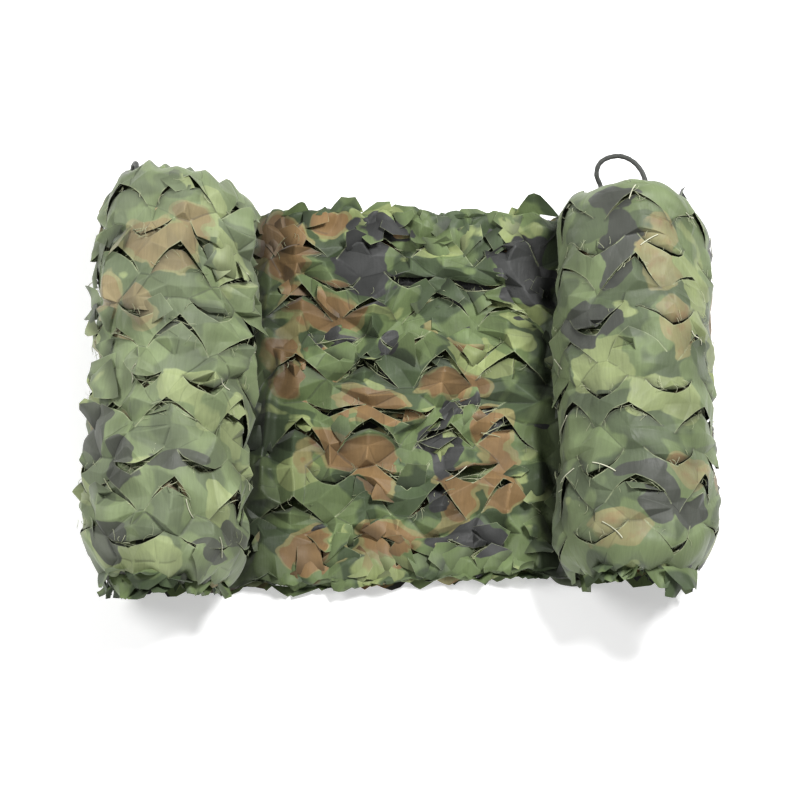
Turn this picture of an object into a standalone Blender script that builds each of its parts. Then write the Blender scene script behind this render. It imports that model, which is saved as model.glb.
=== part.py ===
"""A leaf-cut camouflage net, folded lengthwise and rolled up from both ends.

Metres, +Z up.  X runs along the net from roll to roll and Y along the rolls.  The flat
middle lies on the ground and passes under both rolls, so the whole is one solid: a closed
section of two rolls and the middle between them, swept along Y, with leaf slits raised all
over it, leaf tips along its rims, and the turns and layers of the cloth at its two ends.

A place on the upper side is given by u, measured along the section from the left roll's
foot to the right roll's foot, and t, measured from the near end to the far end.
"""
import math
import random
from collections import namedtuple

import bpy
from mathutils import Vector, noise
from mathutils.bvhtree import BVHTree
from mathutils.geometry import delaunay_2d_cdt

# ---- driving sizes ---------------------------------------------------------------------
NET_DEPTH = 0.456            # along the rolls, without the leaf tips that stick out
ROLL_SPACING = 0.512         # from one roll's middle to the other's
ROLL_WIDTH = 0.174
ROLL_HEIGHT = 0.150
ROLL_WAIST = 0.068           # height at which a roll is widest
ROLL_SAG = 0.078             # how far the lower half would reach if the ground were not there
MIDDLE_THICKNESS = 0.020     # the folded layers that lie flat between the rolls
LEAF_PITCH = 0.080           # the leaf slits repeat at this distance both ways
ROPE_DIAMETER = 0.006
SEAT_GAP = 0.0003            # between pieces that touch

# ---- unevenness of the cloth -----------------------------------------------------------
LUMP_HEIGHT = 0.0055         # slow unevenness of the rolls
LUMP_SIZE = 0.120
MIDDLE_LUMP_SHARE = 0.45     # of it on the flat middle
CRUMPLE_HEIGHT = 0.0026      # quicker unevenness from leaf to leaf
CRUMPLE_SIZE = 0.038
RELIEF_FADE = 0.030          # relief dies out over this height above the ground
CREASE_FADE = 0.026          # and over this distance from the creases beside the rolls
RIM_FADE = 0.024             # and over this distance from the two ends
ROLL_BLEND = 0.020           # length over which the middle goes over into a roll
CREASE_SOFTNESS = 0.012      # reach over which the outward direction is averaged

# ---- leaf slits ------------------------------------------------------------------------
# Where a slit's corners lie in its cell, in pitches from the cell's near left corner, and
# how far its leaf's tip may stand off the cloth.
Slit = namedtuple("Slit", "name left tip right lift_low lift_high")
SLITS = (
    Slit("far_pointing", (0.06, 0.56), (0.50, 0.98), (0.93, 0.57), 0.004, 0.015),
    Slit("near_pointing", (0.60, 0.30), (1.00, 0.00), (1.40, 0.31), 0.003, 0.013),
)
SLIT_STEPS = 3               # straight runs along each arm of a slit
SLIT_BOW = 0.0025            # how far an arm bows away from its leaf
SLIT_JITTER = 0.0055         # how far a slit's corner may lie from its regular place
SLIT_MARGIN = 0.011          # slits keep off the ground line, the creases and the ends
SUNKEN_SHARE = 0.16          # of the leaves are tucked under instead of raised
SUNKEN_DEPTH = 0.35          # of the height that they would have stood up
TIP_SHARPNESS = 1.25         # above 1, a leaf curls up towards its tip
LEFT_ROLL_LIFT = 1.0         # the leaves of the left roll stand up in full,
MIDDLE_LIFT = 1.15           # those of the middle more
RIGHT_ROLL_LIFT = 0.65       # and those of the tighter right roll less

# ---- ends of the net -------------------------------------------------------------------
ROLL_ROUNDING = 0.024        # radius of the rounded edge at a roll's end
ROUNDING_HEIGHT = 0.070      # height at which a roll's rounding is complete
FOOT_ROUNDING = 0.008
FOOT_HEIGHT = 0.050          # below it the rounding draws the end in, but less and less up
MIDDLE_ROUNDING = 0.005
TOOTH_PITCH = 0.043          # leaf tips along the rims
TOOTH_REACH = 0.014
TOOTH_SHORTEST = 0.25        # of that reach
TOOTH_ROOT = 0.030           # length over which a leaf tip grows out of the cloth
FAR_TOOTH_SHIFT = 0.4        # of the pitch
MIDDLE_TOOTH_SHARE = 0.8
# Where the ends are drawn in: which end, the places across the net where that starts and
# where it is complete, and how far it goes.
Pull = namedtuple("Pull", "end from_x to_x depth")
END_PULLS = (
    Pull("far", 0.120, 0.180, 0.013),
    Pull("far", 0.268, 0.350, 0.034),
    Pull("far", 0.245, 0.165, 0.012),
    Pull("near", -0.080, 0.190, 0.015),
    Pull("near", 0.300, 0.352, 0.020),
    Pull("near", -0.300, -0.355, 0.018),
)

# ---- turns and layers of the cloth at the ends -------------------------------------------
TURNS = 4                    # turns of cloth that show at a roll's end
TURN_POINTS = 20             # surface points along one turn
OUTER_TURN = 0.87            # of the flat that is left inside a roll's rounded edge
INNER_TURN = 0.16
TURN_STEP = 0.0075           # how far the edge of each turn stands out over the next
TURN_FADE = 0.10             # share of the end over which the first and last step die out
TURN_RUN = 0.0060            # shortest run between points of the spiral
END_DOME = 0.007             # how far a roll's end swells out around its middle
END_HOLLOW = 0.012           # how deep its very middle sinks in
DOME_EDGE = 0.95             # share of the end at which the swelling starts
DOME_SLOPE = 0.40            # share of the end over which it grows
HOLLOW_EDGE = 0.30           # share of the end at which the hollow starts
END_WAIST = 0.48             # height of the end's middle, of the end's own height
END_EDGE = 1.15              # share of the end outside which the turns have no effect
END_BLEND = 0.15
LAYERS = 3                   # folded layers that show along the middle's two ends
LAYER_STEP = 0.0045          # how far the edge of each layer stands out over the upper one
LAYER_RUN = 0.012            # between points of a layer's edge
LAYER_WAVE = 0.0007
LAYER_WAVE_LENGTH = 0.110
LAYER_FADE = 0.030           # a layer's edge dies out over this distance from the creases

# ---- fineness of the surface -------------------------------------------------------------
POINT_SPACING = 0.0142       # of the upper side's points
SLIT_CLEARANCE = 0.0052      # those points keep off the slits by this much
BORDER_CLEARANCE = 0.0073    # and off the creases and rims by this much
END_POINT_SPACING = 0.0150
END_CLEARANCE = 0.0062
LIP_MERGE = 0.0006           # a slit's two lips closer than this are one edge
GROUND_EDGE_POINTS = 22      # along each end where it meets the ground
ROLL_OUTLINE_POINTS = 90
MIDDLE_OUTLINE_POINTS = 60
RANDOM_SEED = 41

# ---- corner rope loops: points of each route in X, Y and Z --------------------------------
RIGHT_LOOP = (
    (0.2215, 0.2250, 0.088),
    (0.2165, 0.2360, 0.094),
    (0.2190, 0.2470, 0.099),
    (0.2285, 0.2535, 0.102),
    (0.2425, 0.2545, 0.105),
    (0.2555, 0.2480, 0.107),
    (0.2645, 0.2370, 0.108),
    (0.2690, 0.2250, 0.108),
)
LEFT_LOOP = (
    (-0.3080, 0.2300, 0.0600),
    (-0.3100, 0.2390, 0.0620),
    (-0.3090, 0.2450, 0.0690),
    (-0.3060, 0.2470, 0.0770),
    (-0.3030, 0.2440, 0.0850),
    (-0.3010, 0.2370, 0.0905),
    (-0.3000, 0.2300, 0.0925),
)
ROPE_SIDES = 12
ROPE_STEP = 0.0022           # between rings along the rope
BRAID_STRANDS = 4
BRAID_LAY = 0.016            # length of one turn of a strand
BRAID_RELIEF = 0.07          # of the radius
SEAT_RINGS = (0.0, 0.6, 1.1)  # of the rope's radius, where its seat is felt out
SEAT_RAYS = 12

# The two lips of a turn's or a layer's edge: the part of its width that lies there.
STANDING_LIP = 0.0
HIDDEN_LIP = 1.0


def clear_scene():
    for item in list(bpy.data.objects):
        bpy.data.objects.remove(item, do_unlink=True)


def make_material(name, colour, roughness):
    material = bpy.data.materials.new(name)
    material.use_nodes = True
    shader = material.node_tree.nodes["Principled BSDF"]
    shader.inputs["Base Color"].default_value = (*colour, 1.0)
    shader.inputs["Roughness"].default_value = roughness
    shader.inputs["Metallic"].default_value = 0.0
    return material


def smooth_step(value):
    value = max(0.0, min(1.0, value))
    return value * value * (3.0 - 2.0 * value)


def spread(start, end, count):
    return [start + (end - start) * step / (count - 1) for step in range(count)]


def spread_by(start, end, spacing):
    return spread(start, end, round(abs(end - start) / spacing) + 1)


def segment_distance(point, start, end):
    edge = end - start
    share = max(0.0, min(1.0, (point - start).dot(edge) / edge.length_squared))
    return (point - start - edge * share).length


# ---- the section across the rolls --------------------------------------------------------
def crease_x():
    """Distance from the net's middle to the crease where a roll lies on the flat part."""
    drop = (ROLL_WAIST - MIDDLE_THICKNESS) / ROLL_SAG
    return ROLL_SPACING / 2 - ROLL_WIDTH / 2 * math.sqrt(1.0 - drop * drop)


def roll_point(angle):
    """A point of the right roll's outline; the lower half is sagged and cut by the ground."""
    reach = ROLL_HEIGHT - ROLL_WAIST if math.sin(angle) > 0.0 else ROLL_SAG
    x = ROLL_SPACING / 2 + ROLL_WIDTH / 2 * math.cos(angle)
    return x, ROLL_WAIST + reach * math.sin(angle)


def section_outline():
    """Upper side of the section from the left roll's foot to the right roll's foot."""
    foot = -math.asin(ROLL_WAIST / ROLL_SAG)
    crease = math.pi + math.asin((ROLL_WAIST - MIDDLE_THICKNESS) / ROLL_SAG)
    right = [roll_point(angle) for angle in spread(crease, foot, ROLL_OUTLINE_POINTS)]
    left = [(-x, z) for x, z in reversed(right)]
    across = spread(-crease_x(), crease_x(), MIDDLE_OUTLINE_POINTS)
    return left + [(x, MIDDLE_THICKNESS) for x in across[1:-1]] + right


class Section:
    """The outline measured along its own length."""

    def __init__(self):
        self.points = [Vector(point) for point in section_outline()]
        self.along = [0.0]
        for before, after in zip(self.points, self.points[1:]):
            self.along.append(self.along[-1] + (after - before).length)
        self.length = self.along[-1]
        left_crease = ROLL_OUTLINE_POINTS - 1
        right_crease = left_crease + MIDDLE_OUTLINE_POINTS - 1
        self.creases = [self.along[left_crease], self.along[right_crease]]
        self.normals = [self.mean_normal(u) for u in self.along]

    def point(self, u):
        return self.between(self.points, u)

    def normal(self, u):
        return self.between(self.normals, u).normalized()

    def between(self, values, u):
        u = max(0.0, min(self.length, u))
        low = 0
        high = len(self.along) - 1
        while high - low > 1:
            middle = (low + high) // 2
            if self.along[middle] <= u:
                low = middle
            else:
                high = middle
        share = (u - self.along[low]) / (self.along[high] - self.along[low])
        return values[low].lerp(values[high], share)

    def mean_normal(self, u):
        """Outward direction, averaged so that it turns softly through a crease."""
        run = self.point(u + CREASE_SOFTNESS) - self.point(u - CREASE_SOFTNESS)
        return Vector((-run.y, run.x)).normalized()

    def crease_distance(self, u):
        return min(abs(u - crease) for crease in self.creases)

    def rollness(self, u):
        """1 on the rolls, 0 on the flat middle, with a short change between."""
        left, right = self.creases
        inside = min(u - left, right - u)
        return 1.0 - smooth_step(inside / ROLL_BLEND + 0.5)

    def off_ground(self, u, height):
        """0 at a roll's foot, 1 from the given height up and on the middle."""
        if self.rollness(u) < 0.5:
            return 1.0
        return smooth_step(self.point(u).y / height)


# ---- the leaf slits ----------------------------------------------------------------------
class Leaf:
    """A tongue of cloth between a slit's two arms, hinged on the line between their ends."""

    def __init__(self, first, tip, last, lift):
        self.first = first
        self.tip = tip
        self.last = last
        self.lift = lift
        self.slit = self.arm(first, tip)[:-1] + self.arm(tip, last)

    @staticmethod
    def arm(start, end):
        along = end - start
        away = Vector((-along.y, along.x)).normalized()
        points = []
        for share in spread(0.0, 1.0, SLIT_STEPS + 1):
            bow = SLIT_BOW * math.sin(math.pi * share)
            points.append(start + along * share + away * bow)
        return points

    def rise(self, point):
        """Height of the leaf over the cloth at a point of it."""
        hinge = self.last - self.first
        across = Vector((hinge.y, -hinge.x))
        share = (point - self.first).dot(across) / (self.tip - self.first).dot(across)
        return self.lift * max(0.0, share) ** TIP_SHARPNESS

    def holds(self, point):
        corners = (self.first, self.tip, self.last)
        turns = []
        for start, end in zip(corners, corners[1:] + corners[:1]):
            edge = end - start
            turns.append(edge.x * (point.y - start.y) > edge.y * (point.x - start.x))
        return all(turns) or not any(turns)

    def distance(self, point):
        runs = zip(self.slit, self.slit[1:])
        return min(segment_distance(point, start, end) for start, end in runs)


def lift_share(section, u):
    left, right = section.creases
    if u < left:
        return LEFT_ROLL_LIFT
    return MIDDLE_LIFT if u < right else RIGHT_ROLL_LIFT


def slit_fits(section, leaf):
    """A slit stays off the ground line, the creases and the two ends."""
    for point in leaf.slit:
        off_ground = min(point.x, section.length - point.x)
        off_end = min(point.y, NET_DEPTH - point.y)
        if min(off_ground, off_end, section.crease_distance(point.x)) < SLIT_MARGIN:
            return False
    sides = {tuple(point.x > crease for crease in section.creases) for point in leaf.slit}
    return len(sides) == 1


def make_leaves(section, chooser):
    """Leaves over the whole upper side."""
    leaves = []
    columns = math.ceil(section.length / LEAF_PITCH) + 1
    rows = math.ceil(NET_DEPTH / LEAF_PITCH) + 1
    start = Vector((section.length - columns * LEAF_PITCH, NET_DEPTH - rows * LEAF_PITCH)) / 2
    cells = [(column, row) for column in range(columns) for row in range(-1, rows + 1)]
    for cell in cells:
        for slit in SLITS:
            corners = []
            for corner in (slit.left, slit.tip, slit.right):
                place = start + (Vector(cell) + Vector(corner)) * LEAF_PITCH
                off_u = chooser.uniform(-SLIT_JITTER, SLIT_JITTER)
                off_t = chooser.uniform(-SLIT_JITTER, SLIT_JITTER)
                corners.append(place + Vector((off_u, off_t)))
            lift = chooser.uniform(slit.lift_low, slit.lift_high)
            lift *= lift_share(section, corners[1].x)
            if chooser.random() < SUNKEN_SHARE:
                lift *= -SUNKEN_DEPTH
            if slit.name == "near_pointing":
                corners.reverse()
            leaf = Leaf(*corners, lift)
            if slit_fits(section, leaf):
                leaves.append(leaf)
    return leaves


# ---- the surface in space ----------------------------------------------------------------
def end_reach(x, far):
    """How far the net reaches along Y at one end, without its leaf tips."""
    reach = NET_DEPTH / 2
    for pull in END_PULLS:
        if pull.end == ("far" if far else "near"):
            reach -= pull.depth * smooth_step((x - pull.from_x) / (pull.to_x - pull.from_x))
    return reach


class Cloth:
    """Puts a place of the upper side, and a height over it, where it lies in space."""

    def __init__(self):
        chooser = random.Random(RANDOM_SEED)
        self.section = Section()
        self.leaves = make_leaves(self.section, chooser)
        count = math.ceil(self.section.length / TOOTH_PITCH) + 1
        self.teeth = [
            [chooser.uniform(TOOTH_SHORTEST, 1.0) for _ in range(count)]
            for _ in range(2)
        ]

    def steadiness(self, u):
        """1 where the relief is full, 0 on the ground and in a crease."""
        off_crease = smooth_step(self.section.crease_distance(u) / CREASE_FADE)
        return off_crease * self.section.off_ground(u, RELIEF_FADE)

    @staticmethod
    def off_rim(t):
        return smooth_step(min(t, NET_DEPTH - t) / RIM_FADE)

    def unevenness(self, u, t):
        lump = noise.noise(Vector((u / LUMP_SIZE, t / LUMP_SIZE, 3.7)))
        crumple = noise.noise(Vector((u / CRUMPLE_SIZE, t / CRUMPLE_SIZE, 9.1)))
        rollness = self.section.rollness(u)
        lump_share = MIDDLE_LUMP_SHARE + (1.0 - MIDDLE_LUMP_SHARE) * rollness
        height = lump_share * LUMP_HEIGHT * lump + self.off_rim(t) * CRUMPLE_HEIGHT * crumple
        return self.steadiness(u) * height

    def leaf_height(self, leaf, point):
        return self.steadiness(point.x) * self.off_rim(point.y) * leaf.rise(point)

    def rounding(self, u):
        complete = smooth_step(self.section.point(u).y / ROUNDING_HEIGHT)
        on_roll = FOOT_ROUNDING + (ROLL_ROUNDING - FOOT_ROUNDING) * complete
        return MIDDLE_ROUNDING + (on_roll - MIDDLE_ROUNDING) * self.section.rollness(u)

    def tooth_reach(self, u, far):
        """How far a leaf tip sticks out of the end at this place of the rim."""
        tooth, share = divmod(u / TOOTH_PITCH + (FAR_TOOTH_SHIFT if far else 0.0), 1.0)
        on_middle = MIDDLE_TOOTH_SHARE if self.section.rollness(u) < 0.5 else 1.0
        steady = on_middle * self.section.off_ground(u, RELIEF_FADE)
        return steady * TOOTH_REACH * (1.0 - abs(2.0 * share - 1.0)) * self.teeth[far][int(tooth)]

    def place(self, u, t, height=0.0):
        far = t > NET_DEPTH / 2
        from_rim = min(t, NET_DEPTH - t)
        radius = self.rounding(u)
        turned = min(from_rim / radius, math.pi / 2)
        inward = radius * (1.0 - math.sin(turned))
        base = self.section.point(u)
        normal = self.section.normal(u)
        stand = height + self.unevenness(u, t)
        x = base.x + normal.x * (stand - inward)
        z = base.y + normal.y * (stand - inward * self.section.off_ground(u, FOOT_HEIGHT))
        tip = self.tooth_reach(u, far) * (1.0 - smooth_step(from_rim / TOOTH_ROOT))
        y = end_reach(x, far) + tip - radius * (1.0 - math.cos(turned))
        past = max(0.0, from_rim - radius * math.pi / 2)
        y -= y * past / (NET_DEPTH / 2 - radius * math.pi / 2)
        return Vector((x, y if far else -y, max(0.0, z)))


# ---- fields of triangles with slits in them ------------------------------------------------
class Solid:
    """Collects the shared points and the faces of one closed mesh."""

    def __init__(self):
        self.points = []
        self.faces = []

    def add(self, place):
        self.points.append(Vector(place))
        return len(self.points) - 1

    def face(self, corners, turned):
        if len(set(corners)) == len(corners):
            self.faces.append(tuple(reversed(corners)) if turned else tuple(corners))


def heading(start, target):
    run = target - start
    return math.atan2(run.y, run.x)


def on_leaf_side(before, here, after, point):
    """True when a point lies between the two runs of a slit on its leaf's side."""
    start = heading(here, before)
    opening = (heading(here, after) - start) % math.tau
    return (heading(here, point) - start) % math.tau < opening


def add_field(solid, flat, outline, slits, outer_place, inner_place, shared, turned):
    """Triangulate a flat field and put it in space.

    outline is the closed loop of border points, and each slit a run of points with its
    leaf on the right hand.  A slit's points have two places, one for each lip, and a riser
    joins the lips.  shared gives the points of the border that the solid has already.
    """
    lines = [outline + outline[:1]] + slits
    edges = [edge for line in lines for edge in zip(line, line[1:])]
    corners_flat, _, triangles, *_ = delaunay_2d_cdt(flat, edges, [], 1, 1e-9)
    if len(corners_flat) != len(flat):
        raise ValueError("two border or slit lines cross")
    outer = [
        shared[index] if index in shared else solid.add(outer_place(index))
        for index in range(len(flat))
    ]
    inner = {}
    runs = {}
    for slit in slits:
        for before, here, after in zip(slit, slit[1:], slit[2:]):
            lip = inner_place(here)
            if (lip - solid.points[outer[here]]).length > LIP_MERGE:
                inner[here] = solid.add(lip)
                runs[here] = (flat[before], flat[here], flat[after])
    for corners in triangles:
        middle = sum((flat[corner] for corner in corners), Vector((0.0, 0.0))) / 3
        face = []
        for corner in corners:
            lifted = corner in inner and on_leaf_side(*runs[corner], middle)
            face.append(inner[corner] if lifted else outer[corner])
        solid.face(face, turned)
    for slit in slits:
        for first, second in zip(slit, slit[1:]):
            first_in = inner.get(first, outer[first])
            second_in = inner.get(second, outer[second])
            solid.face((first_in, second_in, outer[second]), turned)
            solid.face((first_in, outer[second], outer[first]), turned)
    return outer


def fill_points(corner, width, height, spacing, is_free):
    """Points in offset rows over a rectangle, where they are free."""
    rows = round(height / (spacing * math.sqrt(3) / 2))
    points = []
    for row in range(1, rows):
        start = spacing * (0.5 if row % 2 else 1.0)
        for step in range(int((width - start) / spacing) + 1):
            point = corner + Vector((start + step * spacing, height * row / rows))
            if is_free(point):
                points.append(point)
    return points


def add_upper_side(solid, cloth):
    """The whole upper side; returns the solid's points along its four borders."""
    section = cloth.section
    flat = []
    owner = {}

    def keep(u, t, leaf=None):
        flat.append(Vector((u, t)))
        if leaf:
            owner[len(flat) - 1] = leaf
        return len(flat) - 1

    stops = [0.0] + section.creases + [section.length]
    rim = [0.0]
    stop_places = []
    for start, end in zip(stops, stops[1:]):
        rim += spread_by(start, end, TOOTH_PITCH / 4)[1:]
        stop_places.append(len(rim) - 1)
    side = spread_by(0.0, NET_DEPTH, POINT_SPACING)[1:-1]
    near = [keep(u, 0.0) for u in rim]
    right = [keep(section.length, t) for t in side]
    far = [keep(u, NET_DEPTH) for u in rim]
    left = [keep(0.0, t) for t in side]
    slits = []
    for crease, place in zip(section.creases, stop_places):
        slits.append([near[place]] + [keep(crease, t) for t in side] + [far[place]])
    for leaf in cloth.leaves:
        slits.append([keep(*point, leaf) for point in leaf.slit])

    def is_free(point):
        off_rim = min(point.y, NET_DEPTH - point.y)
        off_ground = min(point.x, section.length - point.x)
        if min(off_rim, off_ground, section.crease_distance(point.x)) < BORDER_CLEARANCE:
            return False
        return all(leaf.distance(point) > SLIT_CLEARANCE for leaf in cloth.leaves)

    flat += fill_points(Vector((0.0, 0.0)), section.length, NET_DEPTH, POINT_SPACING, is_free)

    def outer_place(index):
        point = flat[index]
        height = 0.0
        if index not in owner:
            for leaf in cloth.leaves:
                if leaf.holds(point):
                    height = cloth.leaf_height(leaf, point)
        return cloth.place(*point, height)

    def inner_place(index):
        point = flat[index]
        height = cloth.leaf_height(owner[index], point) if index in owner else 0.0
        return cloth.place(*point, height)

    outline = near + right + far[::-1] + left[::-1]
    placed = add_field(solid, flat, outline, slits, outer_place, inner_place, {}, False)
    borders = {"near": near, "far": far, "left": left, "right": right}
    return {name: [placed[index] for index in line] for name, line in borders.items()}


def add_ground_side(solid, border):
    """The flat that the net lies on; returns its near and far edges, left to right."""
    edges = {}
    for end in ("near", "far"):
        first = border[end][0]
        last = border[end][-1]
        toward = 1.0 if end == "far" else -1.0
        row = spread(solid.points[first].x, solid.points[last].x, GROUND_EDGE_POINTS)
        inside = [solid.add((x, toward * end_reach(x, end == "far"), 0.0)) for x in row[1:-1]]
        edges[end] = [first] + inside + [last]
    loop = edges["near"] + border["right"] + edges["far"][::-1] + border["left"][::-1]
    flat = [solid.points[index].xy for index in loop]
    shared = dict(enumerate(loop))
    add_field(solid, flat, list(shared), [], None, None, shared, True)
    return edges


# ---- the turns and layers at the ends ------------------------------------------------------
class RollEnd:
    """One roll's end, seen along Y: where its spiral runs and how far it stands out."""

    def __init__(self, side):
        self.side = side
        self.top = ROLL_HEIGHT - ROLL_ROUNDING
        self.middle = Vector((side * ROLL_SPACING / 2, self.top * END_WAIST))

    def outline_reach(self, angle):
        """Distance from the roll's middle to the end's rim in one direction."""
        half_width = ROLL_WIDTH / 2 - ROLL_ROUNDING
        half_height = self.top * (1.0 - END_WAIST if math.sin(angle) > 0.0 else END_WAIST)
        across = half_height * math.cos(angle)
        upward = half_width * math.sin(angle)
        return half_width * half_height / math.hypot(across, upward)

    def polar(self, point):
        angle = heading(self.middle, point)
        return angle % math.tau, (point - self.middle).length / self.outline_reach(angle)

    def edge_lines(self):
        """The spiral line, with the turn that stands out on its right hand."""
        points = []
        for step in range(TURNS * TURN_POINTS + 1):
            wound = step / TURN_POINTS
            angle = self.side * wound * math.tau
            share = OUTER_TURN - (OUTER_TURN - INNER_TURN) * wound / TURNS
            reach = share * self.outline_reach(angle)
            point = self.middle + Vector((math.cos(angle), math.sin(angle))) * reach
            if not points or (point - points[-1]).length > TURN_RUN:
                points.append(point)
        return [points if self.side > 0 else points[::-1]]

    def turn_part(self, angle, share):
        """Part of the turn's width that lies outside this place."""
        wound = (OUTER_TURN - share) / (OUTER_TURN - INNER_TURN) * TURNS
        return (wound - self.side * angle / math.tau) % 1.0

    def height(self, point, lip):
        """How far the end stands out at a point; lip picks a side of the spiral line."""
        angle, share = self.polar(point)
        part = self.turn_part(angle, share) if lip is None else lip
        outer = smooth_step((OUTER_TURN - share) / TURN_FADE)
        inner = smooth_step((share - INNER_TURN) / TURN_FADE)
        dome = END_DOME * smooth_step((DOME_EDGE - share) / DOME_SLOPE)
        hollow = END_HOLLOW * (1.0 - smooth_step(share / HOLLOW_EDGE))
        return_height = dome - hollow + TURN_STEP * outer * inner * (0.5 - part)
        return return_height * smooth_step((END_EDGE - share) / END_BLEND)


class MiddleEnd:
    """The end of the flat middle: the edges of its folded layers."""

    def __init__(self):
        self.layer = (MIDDLE_THICKNESS - MIDDLE_ROUNDING) / LAYERS

    def edge_lines(self):
        """Each layer's upper edge, with that layer on its right hand."""
        half = crease_x() - LAYER_FADE / 2
        lines = []
        for number in range(1, LAYERS):
            line = []
            for x in spread_by(-half, half, LAYER_RUN):
                wave = LAYER_WAVE * math.sin(math.tau * (x / LAYER_WAVE_LENGTH + number / LAYERS))
                line.append(Vector((x, number * self.layer + wave)))
            lines.append(line)
        return lines

    def height(self, point, lip):
        part = 1.0 - (point.y / self.layer) % 1.0 if lip is None else lip
        inside = crease_x() - LAYER_FADE / 2 - abs(point.x)
        return LAYER_STEP * smooth_step(inside / LAYER_FADE) * (0.5 - part)


def add_end(solid, rim, ground_edge, far):
    """One end of the net, closed between its rim and its edge on the ground."""
    loop = ground_edge + rim[-2:0:-1]
    flat = [Vector((solid.points[index].x, solid.points[index].z)) for index in loop]
    outline = list(range(len(loop)))
    left_end = RollEnd(-1)
    right_end = RollEnd(1)
    middle_end = MiddleEnd()
    slits = []
    for end in (left_end, right_end, middle_end):
        for line in end.edge_lines():
            slits.append(list(range(len(flat), len(flat) + len(line))))
            flat += line
    border = [(flat[a], flat[b]) for a, b in zip(outline, outline[1:] + outline[:1])]
    lines = border + [(flat[a], flat[b]) for slit in slits for a, b in zip(slit, slit[1:])]

    def is_inside(point):
        crossings = 0
        for start, finish in border:
            if (start.y > point.y) != (finish.y > point.y):
                share = (point.y - start.y) / (finish.y - start.y)
                crossings += start.x + share * (finish.x - start.x) > point.x
        return crossings % 2 == 1

    def is_free(point):
        return is_inside(point) and all(
            segment_distance(point, *line) > END_CLEARANCE for line in lines
        )

    width = ROLL_SPACING + ROLL_WIDTH
    corner = Vector((-width / 2, 0.0))
    flat += fill_points(corner, width, ROLL_HEIGHT, END_POINT_SPACING, is_free)
    on_edge = {index for slit in slits for index in slit}

    def place(point, lip):
        end = middle_end
        if abs(point.x) > crease_x():
            end = left_end if point.x < 0.0 else right_end
        reach = end_reach(point.x, far) + end.height(point, lip)
        return Vector((point.x, reach if far else -reach, point.y))

    def outer_place(index):
        return place(flat[index], HIDDEN_LIP if index in on_edge else None)

    def inner_place(index):
        return place(flat[index], STANDING_LIP)

    shared = dict(enumerate(loop))
    add_field(solid, flat, outline, slits, outer_place, inner_place, shared, far)


def make_net():
    cloth = Cloth()
    solid = Solid()
    border = add_upper_side(solid, cloth)
    ground = add_ground_side(solid, border)
    add_end(solid, border["near"], ground["near"], False)
    add_end(solid, border["far"], ground["far"], True)
    low = [min(point[axis] for point in solid.points) for axis in range(2)]
    high = [max(point[axis] for point in solid.points) for axis in range(2)]
    centre = Vector(((low[0] + high[0]) / 2, (low[1] + high[1]) / 2, 0.0))
    mesh = bpy.data.meshes.new("net_cloth")
    mesh.from_pydata([point - centre for point in solid.points], [], solid.faces)
    mesh.materials.append(make_material("camouflage_cloth", (0.16, 0.21, 0.11), 0.75))
    net = bpy.data.objects.new("net_cloth", mesh)
    bpy.context.collection.objects.link(net)
    return net


# ---- the corner rope loops ---------------------------------------------------------------
def seat_reach(tree, x, z):
    """How far along Y the net reaches under a rope's whole end at this place."""
    reach = -math.inf
    for ring in SEAT_RINGS:
        for step in range(SEAT_RAYS):
            angle = math.tau * step / SEAT_RAYS
            away = ring * ROPE_DIAMETER / 2
            start = Vector((x + away * math.cos(angle), NET_DEPTH, z + away * math.sin(angle)))
            hit = tree.ray_cast(start, Vector((0.0, -1.0, 0.0)))[0]
            if hit:
                reach = max(reach, hit.y)
    return reach


def seated_route(tree, route):
    """The route with both of its ends moved along Y onto the net."""
    points = [Vector(point) for point in route]
    for end in (points[0], points[-1]):
        end.y = seat_reach(tree, end.x, end.z) + SEAT_GAP
    return points


def smooth_route(points, step):
    """A smooth line through the points, cut into runs of about one step."""
    padded = [points[0] * 2 - points[1]] + points + [points[-1] * 2 - points[-2]]
    line = []
    for p0, p1, p2, p3 in zip(padded, padded[1:], padded[2:], padded[3:]):
        count = max(1, round((p2 - p1).length / step))
        for number in range(count):
            s = number / count
            straight = p2 - p0
            bend = 2 * p0 - 5 * p1 + 4 * p2 - p3
            twist = 3 * p1 - p0 - 3 * p2 + p3
            line.append(p1 + (straight + (bend + twist * s) * s) * s / 2)
    return line + [points[-1]]


def braid_radius(angle, distance):
    turned = math.tau * distance / BRAID_LAY
    one_way = math.cos(BRAID_STRANDS * angle + turned)
    other_way = math.cos(BRAID_STRANDS * angle - turned)
    return ROPE_DIAMETER / 2 * (1.0 - BRAID_RELIEF * (0.5 - 0.5 * one_way * other_way))


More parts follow.
